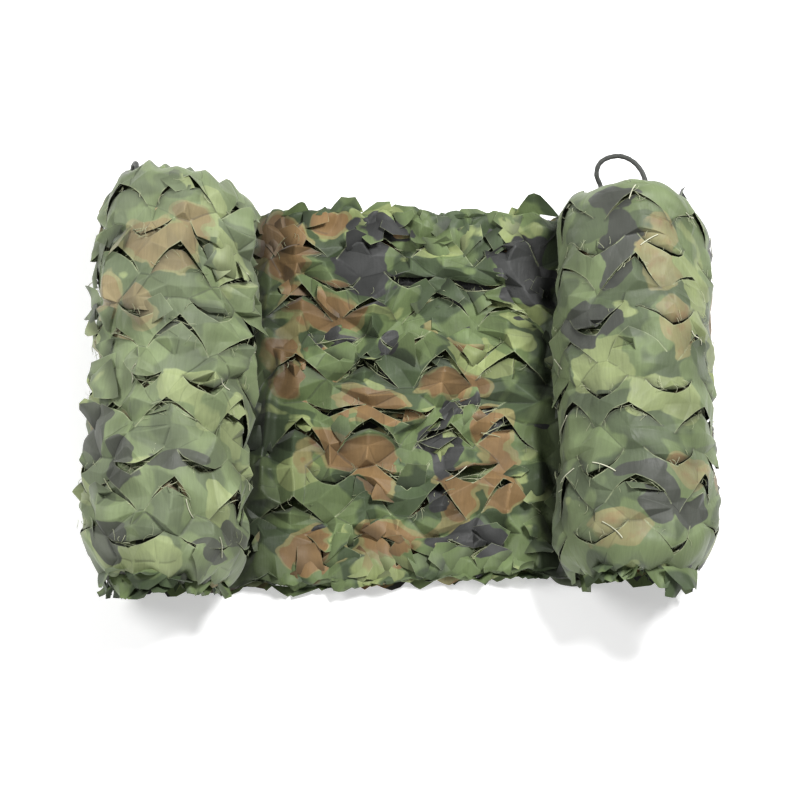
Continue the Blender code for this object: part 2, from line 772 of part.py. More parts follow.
def make_rope(name, route):
    """A round rope with its braid raised, square at both of its seated ends."""
    line = smooth_route(route, ROPE_STEP)
    out_of_net = Vector((0.0, 1.0, 0.0))
    points = []
    side = Vector((0.0, 0.0, 1.0))
    distance = 0.0
    for number, place in enumerate(line):
        before = line[max(0, number - 1)]
        after = line[min(len(line) - 1, number + 1)]
        ahead = (after - before).normalized()
        if number == 0:
            ahead = out_of_net
        if number == len(line) - 1:
            ahead = -out_of_net
        side = (side - ahead * side.dot(ahead)).normalized()
        other = ahead.cross(side)
        distance += (place - before).length
        for step in range(ROPE_SIDES):
            angle = math.tau * step / ROPE_SIDES
            radius = braid_radius(angle, distance)
            points.append(place + (side * math.cos(angle) + other * math.sin(angle)) * radius)
    faces = []
    for ring in range(len(line) - 1):
        for step in range(ROPE_SIDES):
            a = ring * ROPE_SIDES + step
            b = ring * ROPE_SIDES + (step + 1) % ROPE_SIDES
            faces.append((a, b, b + ROPE_SIDES, a + ROPE_SIDES))
    faces.append(tuple(reversed(range(ROPE_SIDES))))
    faces.append(tuple(range(len(points) - ROPE_SIDES, len(points))))
    mesh = bpy.data.meshes.new(name)
    mesh.from_pydata(points, [], faces)
    mesh.shade_smooth()
    mesh.materials.append(make_material("braided_rope", (0.035, 0.037, 0.034), 0.6))
    rope = bpy.data.objects.new(name, mesh)
    bpy.context.collection.objects.link(rope)
    return rope


def main():
    clear_scene()
    net = make_net()
    points = [vertex.co.copy() for vertex in net.data.vertices]
    faces = [tuple(face.vertices) for face in net.data.polygons]
    tree = BVHTree.FromPolygons(points, faces)
    make_rope("rope_loop_right", seated_route(tree, RIGHT_LOOP))
    make_rope("rope_loop_left", seated_route(tree, LEFT_LOOP))


main()
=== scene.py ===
"""A leaf-cut camouflage net, rolled from both ends: cloth, strings, threads and ropes.

Metres, +Z up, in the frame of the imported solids.  A place on the cloth is given by u, along
the section from the left roll's foot to the right roll's foot, t, from the near end to the
far end, and a height over the surface.
"""
import math
import random
from collections import namedtuple

import bpy
import numpy as np
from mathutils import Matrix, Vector, noise
from mathutils.bvhtree import BVHTree
from mathutils.geometry import delaunay_2d_cdt


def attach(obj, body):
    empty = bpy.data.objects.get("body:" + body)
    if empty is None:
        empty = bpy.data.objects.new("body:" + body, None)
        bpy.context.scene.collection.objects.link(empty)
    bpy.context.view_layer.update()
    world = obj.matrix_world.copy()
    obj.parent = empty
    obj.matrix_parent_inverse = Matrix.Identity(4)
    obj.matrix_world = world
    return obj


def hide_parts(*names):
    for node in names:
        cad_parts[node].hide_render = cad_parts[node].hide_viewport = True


# ---- sizes of the rolled net, as in its solids ----
NET_DEPTH = 0.456
ROLL_SPACING = 0.512
ROLL_WIDTH = 0.174
ROLL_HEIGHT = 0.150
ROLL_WAIST = 0.068
ROLL_SAG = 0.078
MIDDLE_THICKNESS = 0.020
LEAF_PITCH = 0.080
ROPE_DIAMETER = 0.006
FRAME_SHIFT = (0.0041653, 0.0058648)  # from the section's own middle to the frame's origin

LUMP_HEIGHT = 0.0055
LUMP_SIZE = 0.120
MIDDLE_LUMP_SHARE = 0.45
CRUMPLE_HEIGHT = 0.0026
CRUMPLE_SIZE = 0.038
RELIEF_FADE = 0.030
CREASE_FADE = 0.026
RIM_FADE = 0.024
ROLL_BLEND = 0.020
CREASE_SOFTNESS = 0.012
ROLL_OUTLINE_POINTS = 90
MIDDLE_OUTLINE_POINTS = 60

# The two slits of each square of the pattern, their corners as shares of its pitch.
Slit = namedtuple("Slit", "name left tip right")
SLITS = (
    Slit("far_pointing", (0.06, 0.56), (0.50, 0.98), (0.93, 0.57)),
    Slit("near_pointing", (0.60, 0.30), (1.00, 0.00), (1.40, 0.31)),
)
SLIT_STEPS = 3
SLIT_BOW = 0.0025
SLIT_JITTER = 0.0055
SLIT_MARGIN = 0.011
SOLID_DRAWS = 2  # the solid draws this often more for a leaf, so this does too

ROLL_ROUNDING = 0.024
ROUNDING_HEIGHT = 0.070
FOOT_ROUNDING = 0.008
FOOT_HEIGHT = 0.050
MIDDLE_ROUNDING = 0.005
LEAST_HEIGHT = 0.0008  # of the cloth over the ground
TOOTH_PITCH = 0.043
TOOTH_REACH = 0.014
TOOTH_SHORTEST = 0.25
TOOTH_ROOT = 0.030
FAR_TOOTH_SHIFT = 0.4
MIDDLE_TOOTH_SHARE = 0.8
RIGHT_LOOP_U = 0.955  # the right rope loop holds the far rim's teeth in around here
LOOP_HOLD = 0.8
LOOP_HOLD_REACH = 0.045
# Pulls on a rim: none up to from_x, the whole depth from to_x on; below zero it stands out.
Pull = namedtuple("Pull", "end from_x to_x depth")
END_PULLS = (
    Pull("far", -0.312, -0.352, 0.018),
    Pull("far", -0.260, -0.170, 0.016),
    Pull("far", -0.165, -0.145, -0.007),
    Pull("far", 0.120, 0.180, 0.004),
    Pull("far", 0.268, 0.350, 0.034),
    Pull("far", 0.245, 0.165, 0.012),
    Pull("far", 0.170, 0.215, 0.004),
    Pull("near", -0.080, 0.190, 0.018),
    Pull("near", -0.190, -0.150, 0.005),
    Pull("near", 0.150, 0.180, -0.009),
    Pull("near", 0.300, 0.352, 0.030),
    Pull("near", -0.165, -0.200, -0.004),
    Pull("near", -0.300, -0.355, 0.026),
)
END_DOME = 0.007
END_HOLLOW = 0.012
END_WAIST = 0.48

# ---- how the cut cloth stands ----
FACET_RISE = 0.0075  # the cloth's crisp facets, between slit corners
FACET_PITCH = 0.026  # spacing of the facets' corners away from the slits
ARM_WAVE = 0.0012  # unevenness along a slit's lips
PINNED_DEPTH = 0.0050  # a slit's ends are held down on the string mesh
RIDGE_SHARE = 0.68  # of the leaves have a ridge along them, the others a valley
RIDGE_RISE = (0.0040, 0.0105)
VALLEY_DEPTH = (0.0020, 0.0060)
RIDGE_RUN = 0.014  # a leaf's ridge runs on past its hinge by this much
RIDGE_END_SHARE = 0.8  # of its rise is left there
CENTRE_DRAW = 0.4  # a leaf's middle is drawn along by this share
PINNED_SPREAD = (0.2, 1.5)  # how unevenly a slit's two ends are held down
INNER_TIP_SHARE = (0.5, 1.1)  # of a leaf's ridge that is left at its tip
ASKEW = 0.005  # how far a leaf's tip may lie to one side
FACET_SPREAD = (-0.8, 1.0)
FACET_JITTER = 0.2
FACET_ROW_SHARE = 0.87  # spacing of the facets' rows as a share of their pitch
FACET_OFF_LINE = 0.38  # shares of the pitch that facets stay off creases and borders,
FACET_OFF_LEAF = 0.34  # and off leaves
RIM_NOTCH = (-0.003, 0.007)
RIM_RISE = (-0.003, 0.005)
CALM_STEADINESS = 0.75  # where the cloth has less, a leaf stays low,
CALM_OFF_RIM = 0.6  # and where it is less off the rim than this
SAME_PLACE = 1e-9  # corners closer than this are one
LIP, FOLD = 5, 6             # where a fine point's two marks stand among its values
# Soft folds in the cloth: from u and t to u and t, half width, height.
SoftFold = namedtuple("SoftFold", "u t end_u end_t width height")
SOFT_FOLDS = (
    SoftFold(0.428, 0.090, 0.448, 0.290, 0.0055, 0.0095),
    SoftFold(0.436, 0.250, 0.430, 0.420, 0.0060, 0.0070),
    SoftFold(0.745, 0.030, 0.740, 0.210, 0.0060, 0.0060),
    SoftFold(0.742, 0.220, 0.748, 0.400, 0.0070, 0.0050),
    SoftFold(0.235, 0.200, 0.330, 0.230, 0.0080, 0.0030),
    SoftFold(0.930, 0.150, 1.050, 0.120, 0.0090, 0.0030),
)
FOLD_TAPER = 4.0  # a soft fold rises over its first and its last quarter
RIM_CRUMPLE = 0.0100  # the middle's rims are crumpled deeper than the rest
RIM_CRUMPLE_SIZE = 0.030
RIM_CRUMPLE_STRETCH = 0.6
RIM_CRUMPLE_GAIN = 2.2
RIM_CRUMPLE_SINK = 0.35
RIM_CRUMPLE_REACH = 0.042
NEAR_CRUMPLE_SHARE = 0.35
HEM_REACH = 0.060  # the rolls' hems hold the cloth flat over this far
HEM_HOLD = 0.70
DRIFTS = ((0.0110, 0.085), (0.0050, 0.042))  # how far and how finely the pattern wanders
CREASE_SINK = 0.0080  # the cloth is drawn down between a roll and the middle
CREASE_SINK_REACH = 0.034
FINE_RISE = 0.0008  # small crumples
FINE_SIZE = 0.014
SOFTENING = 1  # rounds of averaging that take the edge off the folds
TOUGH_SHARE = {"left": 1.15, "middle": 1.75, "right": 0.55}
OPEN_SHARE = {"left": 0.75, "middle": 1.50, "right": 0.32}

# Forms that a leaf takes: share of the leaves, where the bend starts along the leaf, its
# angle in degrees, its width as a share of the leaf, how far its line may be turned, how
# high the cloth stands around its slit, how far that cloth is drawn off the leaf, how far
# the leaf itself is drawn back by its crumples, and how high those stand in its middle.
LeafForm = namedtuple("LeafForm", "name share start angle width turn collar slide back arch")
LEAF_FORMS = (
    LeafForm("tucked", 0.20, (0.50, 0.78), (-168.0, -150.0), (0.05, 0.10), 26.0,
             (0.003, 0.011), (-0.001, 0.005), (0.000, 0.005), (-0.002, 0.005)),
    LeafForm("sunk", 0.36, (0.00, 0.20), (-30.0, -10.0), (0.60, 0.90), 14.0,
             (0.004, 0.012), (-0.004, 0.003), (0.004, 0.013), (0.002, 0.009)),
    LeafForm("raised", 0.27, (0.00, 0.35), (20.0, 62.0), (0.30, 0.80), 24.0,
             (-0.005, 0.003), (-0.001, 0.006), (0.000, 0.007), (-0.004, 0.004)),
    LeafForm("turned", 0.17, (0.28, 0.60), (118.0, 162.0), (0.10, 0.20), 30.0,
             (-0.003, 0.005), (-0.001, 0.007), (0.000, 0.006), (-0.002, 0.004)),
)
DEEPEST = 0.0062  # a leaf sinks no deeper than this below the cloth
HIGHEST = 0.0190  # and stands no higher above it
LEAST_BEND_REACH = 0.010
BEND_RUN = 1.3  # a bend is worked out this far past the tip, in so many steps
BEND_STEPS = 80
TAUT_SHARE = 0.70  # of the right roll's leaves lie taut
LEAST_GAP = 0.0012  # between a leaf's tip and the cloth around it
SHARP_FOLD = 60.0  # degrees; a fold this sharp is fully marked
# A leaf's print is off the cloth's by up to this much, from a little past its hinge on.
TONE_STEP = {"left": 0.32, "middle": 0.50, "right": 0.16}
TONE_RUN = 2.5
LIP_PAINTED_SHADE = 0.62  # painted shade under a lip darkens the leaf's edge by this share
LIP_PAINTED_SHADE_REACH = {"left": 0.0055, "middle": 0.0095, "right": 0.0045}
# Painted shade in the valleys: the share by which the cloth is darkened where it lies deep between
# a roll and the middle.
VALLEY_PAINTED_SHADE = {"left": 0.80, "right": 0.72}
# How far that painted shade reaches from a crease, onto the roll and onto the middle.
VALLEY_PAINTED_SHADE_REACH = {"left": (0.026, 0.080), "right": (0.024, 0.060)}
# Painted sheen: the tight rolls are mixed towards a pale tone by up to this share, in patches.
PAINTED_SHEEN_SHARE = {"left": 0.27, "right": 0.15}
PAINTED_SHEEN_PATCHINESS = 0.35
PAINTED_SHEEN_SIZE = 0.060
RIGHT_ROLL_DARKENING = 0.10  # the right roll is greyer and darker than the left one; its colour is darkened by this share


# ---- camera ----
CAMERA_LENS = 81.2
SENSOR_WIDTH = 36.0
CAMERA_DISTANCE = 2.0
CAMERA_ELEVATION = 76.0
CAMERA_AZIMUTH = 1.0
CAMERA_TARGET = (0.0, -0.020, 0.060)


def add_camera():
    up = math.radians(CAMERA_ELEVATION)
    around = math.radians(CAMERA_AZIMUTH)
    flat = math.cos(up)
    away = Vector((math.sin(around) * flat, -math.cos(around) * flat, math.sin(up)))
    data = bpy.data.cameras.new("camera")
    data.lens = CAMERA_LENS
    data.sensor_width = SENSOR_WIDTH
    camera = link_object("camera", data)
    camera.location = Vector(CAMERA_TARGET) + away * CAMERA_DISTANCE
    camera.rotation_euler = away.to_track_quat("Z", "Y").to_euler()
    bpy.context.scene.camera = camera


# ---- small helpers ----
def smooth_step(value):
    value = np.clip(value, 0.0, 1.0)
    return value * value * (3.0 - 2.0 * value)


def spread(start, end, count):
    return [start + (end - start) * step / (count - 1) for step in range(count)]


def rim_distance(t):
    return np.minimum(t, NET_DEPTH - t)


def noise_field(u, t, size, layer):
    """Smooth noise from -1 to 1 at each place of the cloth; each layer is its own field."""
    return np.array([noise.noise((a / size, b / size, layer)) for a, b in zip(u, t)])


def segment_distance(point, start, end):
    edge = end - start
    share = max(0.0, min(1.0, (point - start).dot(edge) / edge.length_squared))
    return (point - start - edge * share).length


def polyline_distance(places, corners):
    """Distance from each place to the nearest run between two neighbouring corners."""
    nearest = np.full(len(places), np.inf)
    for start, end in zip(corners, corners[1:]):
        edge = np.array(end - start)
        offset = places - np.array(start)
        share = np.clip(offset @ edge / (edge @ edge), 0.0, 1.0)
        nearest = np.minimum(nearest, np.linalg.norm(offset - np.outer(share, edge), axis=1))
    return nearest


def fold_height(places, fold):
    """Height of one soft fold at each place; it sinks away towards its two ends."""
    start = np.array((fold.u, fold.t))
    edge = np.array((fold.end_u, fold.end_t)) - start
    share = (places - start) @ edge / (edge @ edge)
    off_line = np.linalg.norm(places - start - np.outer(share, edge), axis=1)
    along = smooth_step(FOLD_TAPER * share) * smooth_step(FOLD_TAPER * (1.0 - share))
    return fold.height * along * np.exp(-((off_line / fold.width) ** 2))


def link_object(name, data):
    item = bpy.data.objects.new(name, data)
    bpy.context.scene.collection.objects.link(item)
    return item


def add_piece(name, points, faces, material):
    """A smooth piece of the net that rides on its only body."""
    mesh = bpy.data.meshes.new(name)
    mesh.from_pydata(points, [], faces)
    mesh.shade_smooth()
    mesh.materials.append(material)
    item = link_object(name, mesh)
    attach(item, "root")
    return item


def grid_faces(rows, columns, start=0, turned=False):
    """Faces between points in rows, row after row from start on; turned ones face away."""
    second, last = (columns, 1) if turned else (1, columns)
    corners = [start + row * columns + column
               for row in range(rows - 1) for column in range(columns - 1)]
    return [(a, a + second, a + columns + 1, a + last) for a in corners]


# ---- the section across the rolls ----
def crease_x():
    drop = (ROLL_WAIST - MIDDLE_THICKNESS) / ROLL_SAG
    return ROLL_SPACING / 2 - ROLL_WIDTH / 2 * math.sqrt(1.0 - drop * drop)


def roll_point(angle):
    reach = ROLL_HEIGHT - ROLL_WAIST if math.sin(angle) > 0.0 else ROLL_SAG
    x = ROLL_SPACING / 2 + ROLL_WIDTH / 2 * math.cos(angle)
    return x, ROLL_WAIST + reach * math.sin(angle)


def section_outline():
    foot = -math.asin(ROLL_WAIST / ROLL_SAG)
    crease = math.pi + math.asin((ROLL_WAIST - MIDDLE_THICKNESS) / ROLL_SAG)
    right = [roll_point(angle) for angle in spread(crease, foot, ROLL_OUTLINE_POINTS)]
    left = [(-x, z) for x, z in reversed(right)]
    across = spread(-crease_x(), crease_x(), MIDDLE_OUTLINE_POINTS)
    return left + [(x, MIDDLE_THICKNESS) for x in across[1:-1]] + right


class Section:
    """The outline measured along its own length."""

    def __init__(self):
        self.points = np.array(section_outline())
        runs = np.hypot(*np.diff(self.points, axis=0).T)
        self.along = np.concatenate(([0.0], np.cumsum(runs)))
        self.length = float(self.along[-1])
        left_crease = ROLL_OUTLINE_POINTS - 1
        right_crease = left_crease + MIDDLE_OUTLINE_POINTS - 1
        self.creases = [float(self.along[left_crease]), float(self.along[right_crease])]

    def point(self, u):
        x = np.interp(u, self.along, self.points[:, 0])
        z = np.interp(u, self.along, self.points[:, 1])
        return x, z

    def normal(self, u):
        ahead_x, ahead_z = self.point(u + CREASE_SOFTNESS)
        behind_x, behind_z = self.point(u - CREASE_SOFTNESS)
        run = np.hypot(ahead_x - behind_x, ahead_z - behind_z)
        return (behind_z - ahead_z) / run, (ahead_x - behind_x) / run

    def crease_distance(self, u):
        return np.minimum(np.abs(u - self.creases[0]), np.abs(u - self.creases[1]))

    def rollness(self, u):
        inside = np.minimum(u - self.creases[0], self.creases[1] - u)
        return 1.0 - smooth_step(inside / ROLL_BLEND + 0.5)

    def off_ground(self, u, height):
        on_middle = self.rollness(u) < 0.5
        return np.where(on_middle, 1.0, smooth_step(self.point(u)[1] / height))

    def region(self, u):
        if u < self.creases[0]:
            return "left"
        return "middle" if u < self.creases[1] else "right"


# ---- the leaf slits ----
class Leaf:
    """A tongue of cloth between a slit's two arms, hinged on the line between their ends."""

    def __init__(self, first, tip, last):
        self.first = first
        self.tip = tip
        self.last = last
        self.hinge = (first + last) / 2
        self.slit = self.arm(first, tip)[:-1] + self.arm(tip, last)

    @staticmethod
    def arm(start, end):
        along = end - start
        away = Vector((-along.y, along.x)).normalized()
        points = []
        for share in spread(0.0, 1.0, SLIT_STEPS + 1):
            bow = SLIT_BOW * math.sin(math.pi * share)
            points.append(start + along * share + away * bow)
        return points

    def holds(self, point):
        inside = False
        for start, end in zip(self.slit, self.slit[1:] + self.slit[:1]):
            if (start.y > point.y) != (end.y > point.y):
                share = (point.y - start.y) / (end.y - start.y)
                inside ^= start.x + share * (end.x - start.x) > point.x
        return inside

    def ridge_end(self):
        return self.hinge + (self.hinge - self.tip).normalized() * RIDGE_RUN

    def distance(self, point):
        corners = self.slit + self.slit[:1]
        off_slit = min(segment_distance(point, *run) for run in zip(corners, corners[1:]))
        return min(off_slit, segment_distance(point, self.hinge, self.ridge_end()))


def slit_fits(section, leaf):
    for point in leaf.slit:
        off_ground = min(point.x, section.length - point.x)
        off_end = min(point.y, NET_DEPTH - point.y)
        if min(off_ground, off_end, section.crease_distance(point.x)) < SLIT_MARGIN:
            return False
    return len({section.region(point.x) for point in leaf.slit}) == 1


def make_leaves(section, chooser):
    """Leaves over the whole upper side, in the same places as in the solid."""
    leaves = []
    columns = math.ceil(section.length / LEAF_PITCH) + 1
    rows = math.ceil(NET_DEPTH / LEAF_PITCH) + 1
    start = Vector((section.length - columns * LEAF_PITCH, NET_DEPTH - rows * LEAF_PITCH)) / 2
    for cell in [(column, row) for column in range(columns) for row in range(-1, rows + 1)]:
        for slit in SLITS:
            corners = []
            for corner in (slit.left, slit.tip, slit.right):
                place = start + (Vector(cell) + Vector(corner)) * LEAF_PITCH
                off_u = chooser.uniform(-SLIT_JITTER, SLIT_JITTER)
                off_t = chooser.uniform(-SLIT_JITTER, SLIT_JITTER)
                corners.append(place + Vector((off_u, off_t)))
            for _ in range(SOLID_DRAWS):
                chooser.random()
            if slit.name == "near_pointing":
                corners.reverse()
            leaf = Leaf(*corners)
            if slit_fits(section, leaf):
                leaves.append(leaf)
    return leaves


# ---- the surface in space ----
def end_reach(x, far):
    reach = np.full(np.shape(x), NET_DEPTH / 2)
    for pull in END_PULLS:
        share = smooth_step((x - pull.from_x) / (pull.to_x - pull.from_x))
        reach = reach - np.where(far == (pull.end == "far"), pull.depth * share, 0.0)
    return reach


class Cloth:
    """Puts a place of the upper side, and a height over it, where it lies in space."""

    def __init__(self, seed, depth=0.0, tooth_shift=0.0):
        chooser = random.Random(seed)
        self.depth = depth
        self.tooth_shift = tooth_shift
        self.section = Section()
        self.leaves = make_leaves(self.section, chooser)
        count = math.ceil(self.section.length / TOOTH_PITCH) + 2
        teeth = [[chooser.uniform(TOOTH_SHORTEST, 1.0) for _ in range(count - 1)]
                 for _ in range(2)]
        self.teeth = np.array([row + row[:1] for row in teeth])

    def steadiness(self, u):
        off_crease = smooth_step(self.section.crease_distance(u) / CREASE_FADE)
        return off_crease * self.section.off_ground(u, RELIEF_FADE)

    def leaf_steadiness(self, leaf):
        return self.steadiness(np.array([leaf.tip.x, leaf.first.x, leaf.last.x])).min()

    @staticmethod
    def off_rim(t):
        return smooth_step(rim_distance(t) / RIM_FADE)

    def unevenness(self, u, t):
        lump = noise_field(u, t, LUMP_SIZE, 3.7)
        crumple = noise_field(u, t, CRUMPLE_SIZE, 9.1)
        lump_share = MIDDLE_LUMP_SHARE + (1.0 - MIDDLE_LUMP_SHARE) * self.section.rollness(u)
        height = lump_share * LUMP_HEIGHT * lump + self.off_rim(t) * CRUMPLE_HEIGHT * crumple
        return self.steadiness(u) * height

    def drift(self, flat):
        """How far each place is off its own spot in a flat, even pattern."""
        steady = self.steadiness(flat[:, 0]) * self.off_rim(flat[:, 1])
        moved = np.zeros((len(flat), 2))
        for axis, layer in ((0, 51.0), (1, 57.0)):
            for reach, size in DRIFTS:
                wander = noise_field(flat[:, 0], flat[:, 1], size, layer + size)
                moved[:, axis] += reach * wander * steady
        return moved

    def painted_sheen_field(self, flat):
        """Painted sheen: the tight rolls are painted paler than the middle."""
        u = flat[:, 0]
        left = u < self.section.length / 2
        share = np.where(left, PAINTED_SHEEN_SHARE["left"], PAINTED_SHEEN_SHARE["right"])
        patchy = 1.0 + PAINTED_SHEEN_PATCHINESS * noise_field(u, flat[:, 1], PAINTED_SHEEN_SIZE, 77.0)
        return share * patchy * self.section.rollness(u)

    def valley_painted_shade(self, u):
        """Painted shade: below one where the cloth lies deep between a roll and the middle; the
        right roll is darker as a whole.
        """
        painted_shade = np.ones(len(u))
        for crease, side in zip(self.section.creases, (1.0, -1.0)):
            inward = (u - crease) * side
            name = "left" if side > 0.0 else "right"
            roll_reach, middle_reach = VALLEY_PAINTED_SHADE_REACH[name]
            on_middle = smooth_step(inward / middle_reach)
            on_roll = smooth_step(-inward / roll_reach)
            painted_shade *= 1.0 - VALLEY_PAINTED_SHADE[name] * (1.0 - np.where(inward > 0.0, on_middle, on_roll))
        on_right_roll = self.section.rollness(u) * (u > self.section.length / 2)
        return painted_shade * (1.0 - RIGHT_ROLL_DARKENING * on_right_roll)

    def rounding(self, u):
        complete = smooth_step(self.section.point(u)[1] / ROUNDING_HEIGHT)
        on_roll = FOOT_ROUNDING + (ROLL_ROUNDING - FOOT_ROUNDING) * complete
        return MIDDLE_ROUNDING + (on_roll - MIDDLE_ROUNDING) * self.section.rollness(u)

    def tooth_reach(self, u, far):
        place = u / TOOTH_PITCH + np.where(far, FAR_TOOTH_SHIFT, 0.0) + self.tooth_shift
        tooth = np.clip(np.floor(place).astype(int), 0, self.teeth.shape[1] - 1)
        share = place - np.floor(place)
        on_middle = np.where(self.section.rollness(u) < 0.5, MIDDLE_TOOTH_SHARE, 1.0)
        steady = on_middle * self.section.off_ground(u, RELIEF_FADE)
        size = self.teeth[far.astype(int), tooth]
        by_loop = smooth_step(2.0 - np.abs(u - RIGHT_LOOP_U) / LOOP_HOLD_REACH)
        steady = steady * (1.0 - LOOP_HOLD * by_loop * far)
        return steady * TOOTH_REACH * (1.0 - np.abs(2.0 * share - 1.0)) * size

    def place(self, u, t, height):
        """Points in space, one row each."""
        far = t > NET_DEPTH / 2
        from_rim = rim_distance(t)
        radius = self.rounding(u)
        turned = np.clip(from_rim / radius, 0.0, math.pi / 2)
        inward = radius * (1.0 - np.sin(turned))
        base_x, base_z = self.section.point(u)
        normal_x, normal_z = self.section.normal(u)
        stand = height + self.unevenness(u, t) - self.depth
        x = base_x + normal_x * (stand - inward)
        z = base_z + normal_z * (stand - inward * self.section.off_ground(u, FOOT_HEIGHT))
        tip = self.tooth_reach(u, far) * (1.0 - smooth_step(from_rim / TOOTH_ROOT))
        y = end_reach(x, far) + tip - radius * (1.0 - np.cos(turned))
        past = np.maximum(0.0, from_rim - radius * math.pi / 2)
        y = y - y * past / (NET_DEPTH / 2 - radius * math.pi / 2)
        y = np.where(far, y, -y)
        z = np.maximum(LEAST_HEIGHT, z)
        return np.stack((x + FRAME_SHIFT[0], y + FRAME_SHIFT[1], z), axis=1)


# ---- a leaf's bend ----
class Bend:
    """A leaf's bend about a line through one end of its hinge, without stretching it."""

    def __init__(self, leaf, form, chooser, share):
        turn = math.radians(chooser.uniform(-form.turn, form.turn))
        along = (leaf.last - leaf.first).normalized()
        up = Vector((-along.y, along.x))
        if (leaf.tip - leaf.first).dot(up) < 0.0:
            up = -up
        self.pivot = leaf.first if turn > 0.0 else leaf.last
        self.along = along * math.cos(turn) + up * math.sin(turn)
        self.up = up * math.cos(turn) - along * math.sin(turn)
        reach = max(LEAST_BEND_REACH, (leaf.tip - self.pivot).dot(self.up))
        angle = math.radians(chooser.uniform(*form.angle))
        if form.name in ("sunk", "raised"):
            angle *= share
        start = chooser.uniform(*form.start) * reach
        width = chooser.uniform(*form.width) * reach
        self.steps = np.linspace(0.0, reach * BEND_RUN, BEND_STEPS)
        angles = angle * smooth_step((self.steps - start) / width)
        run = self.steps[1] - self.steps[0]
        self.reach = np.cumsum(np.cos(angles)) * run - run
        self.height = np.cumsum(np.sin(angles)) * run

    def apply(self, flat, height):
        offset = flat - np.array(self.pivot)
        beyond = offset @ np.array(self.up)
        beside = offset @ np.array(self.along)
        bent = np.where(beyond > 0.0, np.interp(beyond, self.steps, self.reach), beyond)
        rise = np.where(beyond > 0.0, np.interp(beyond, self.steps, self.height), 0.0)
        rise = np.clip(rise, -DEEPEST, HIGHEST)
        moved = np.outer(beside, np.array(self.along)) + np.outer(bent, np.array(self.up))
        return np.array(self.pivot) + moved, height + rise


def clear_of_leaves(cloth, place, gap):
    return all(leaf.distance(place) > gap for leaf in cloth.leaves
               if abs(leaf.tip.x - place.x) < LEAF_PITCH and abs(leaf.tip.y - place.y) < LEAF_PITCH)


def choose_form(chooser, calm, taut):
    """A leaf's form; near a crease or the ground, or on taut cloth, a leaf stays low."""
    forms = LEAF_FORMS
    if taut:
        forms = [form for form in LEAF_FORMS if form.name == "sunk"]
    elif calm:
        forms = [form for form in LEAF_FORMS if form.name in ("tucked", "sunk")]
    return chooser.choices(forms, [form.share for form in forms])[0]


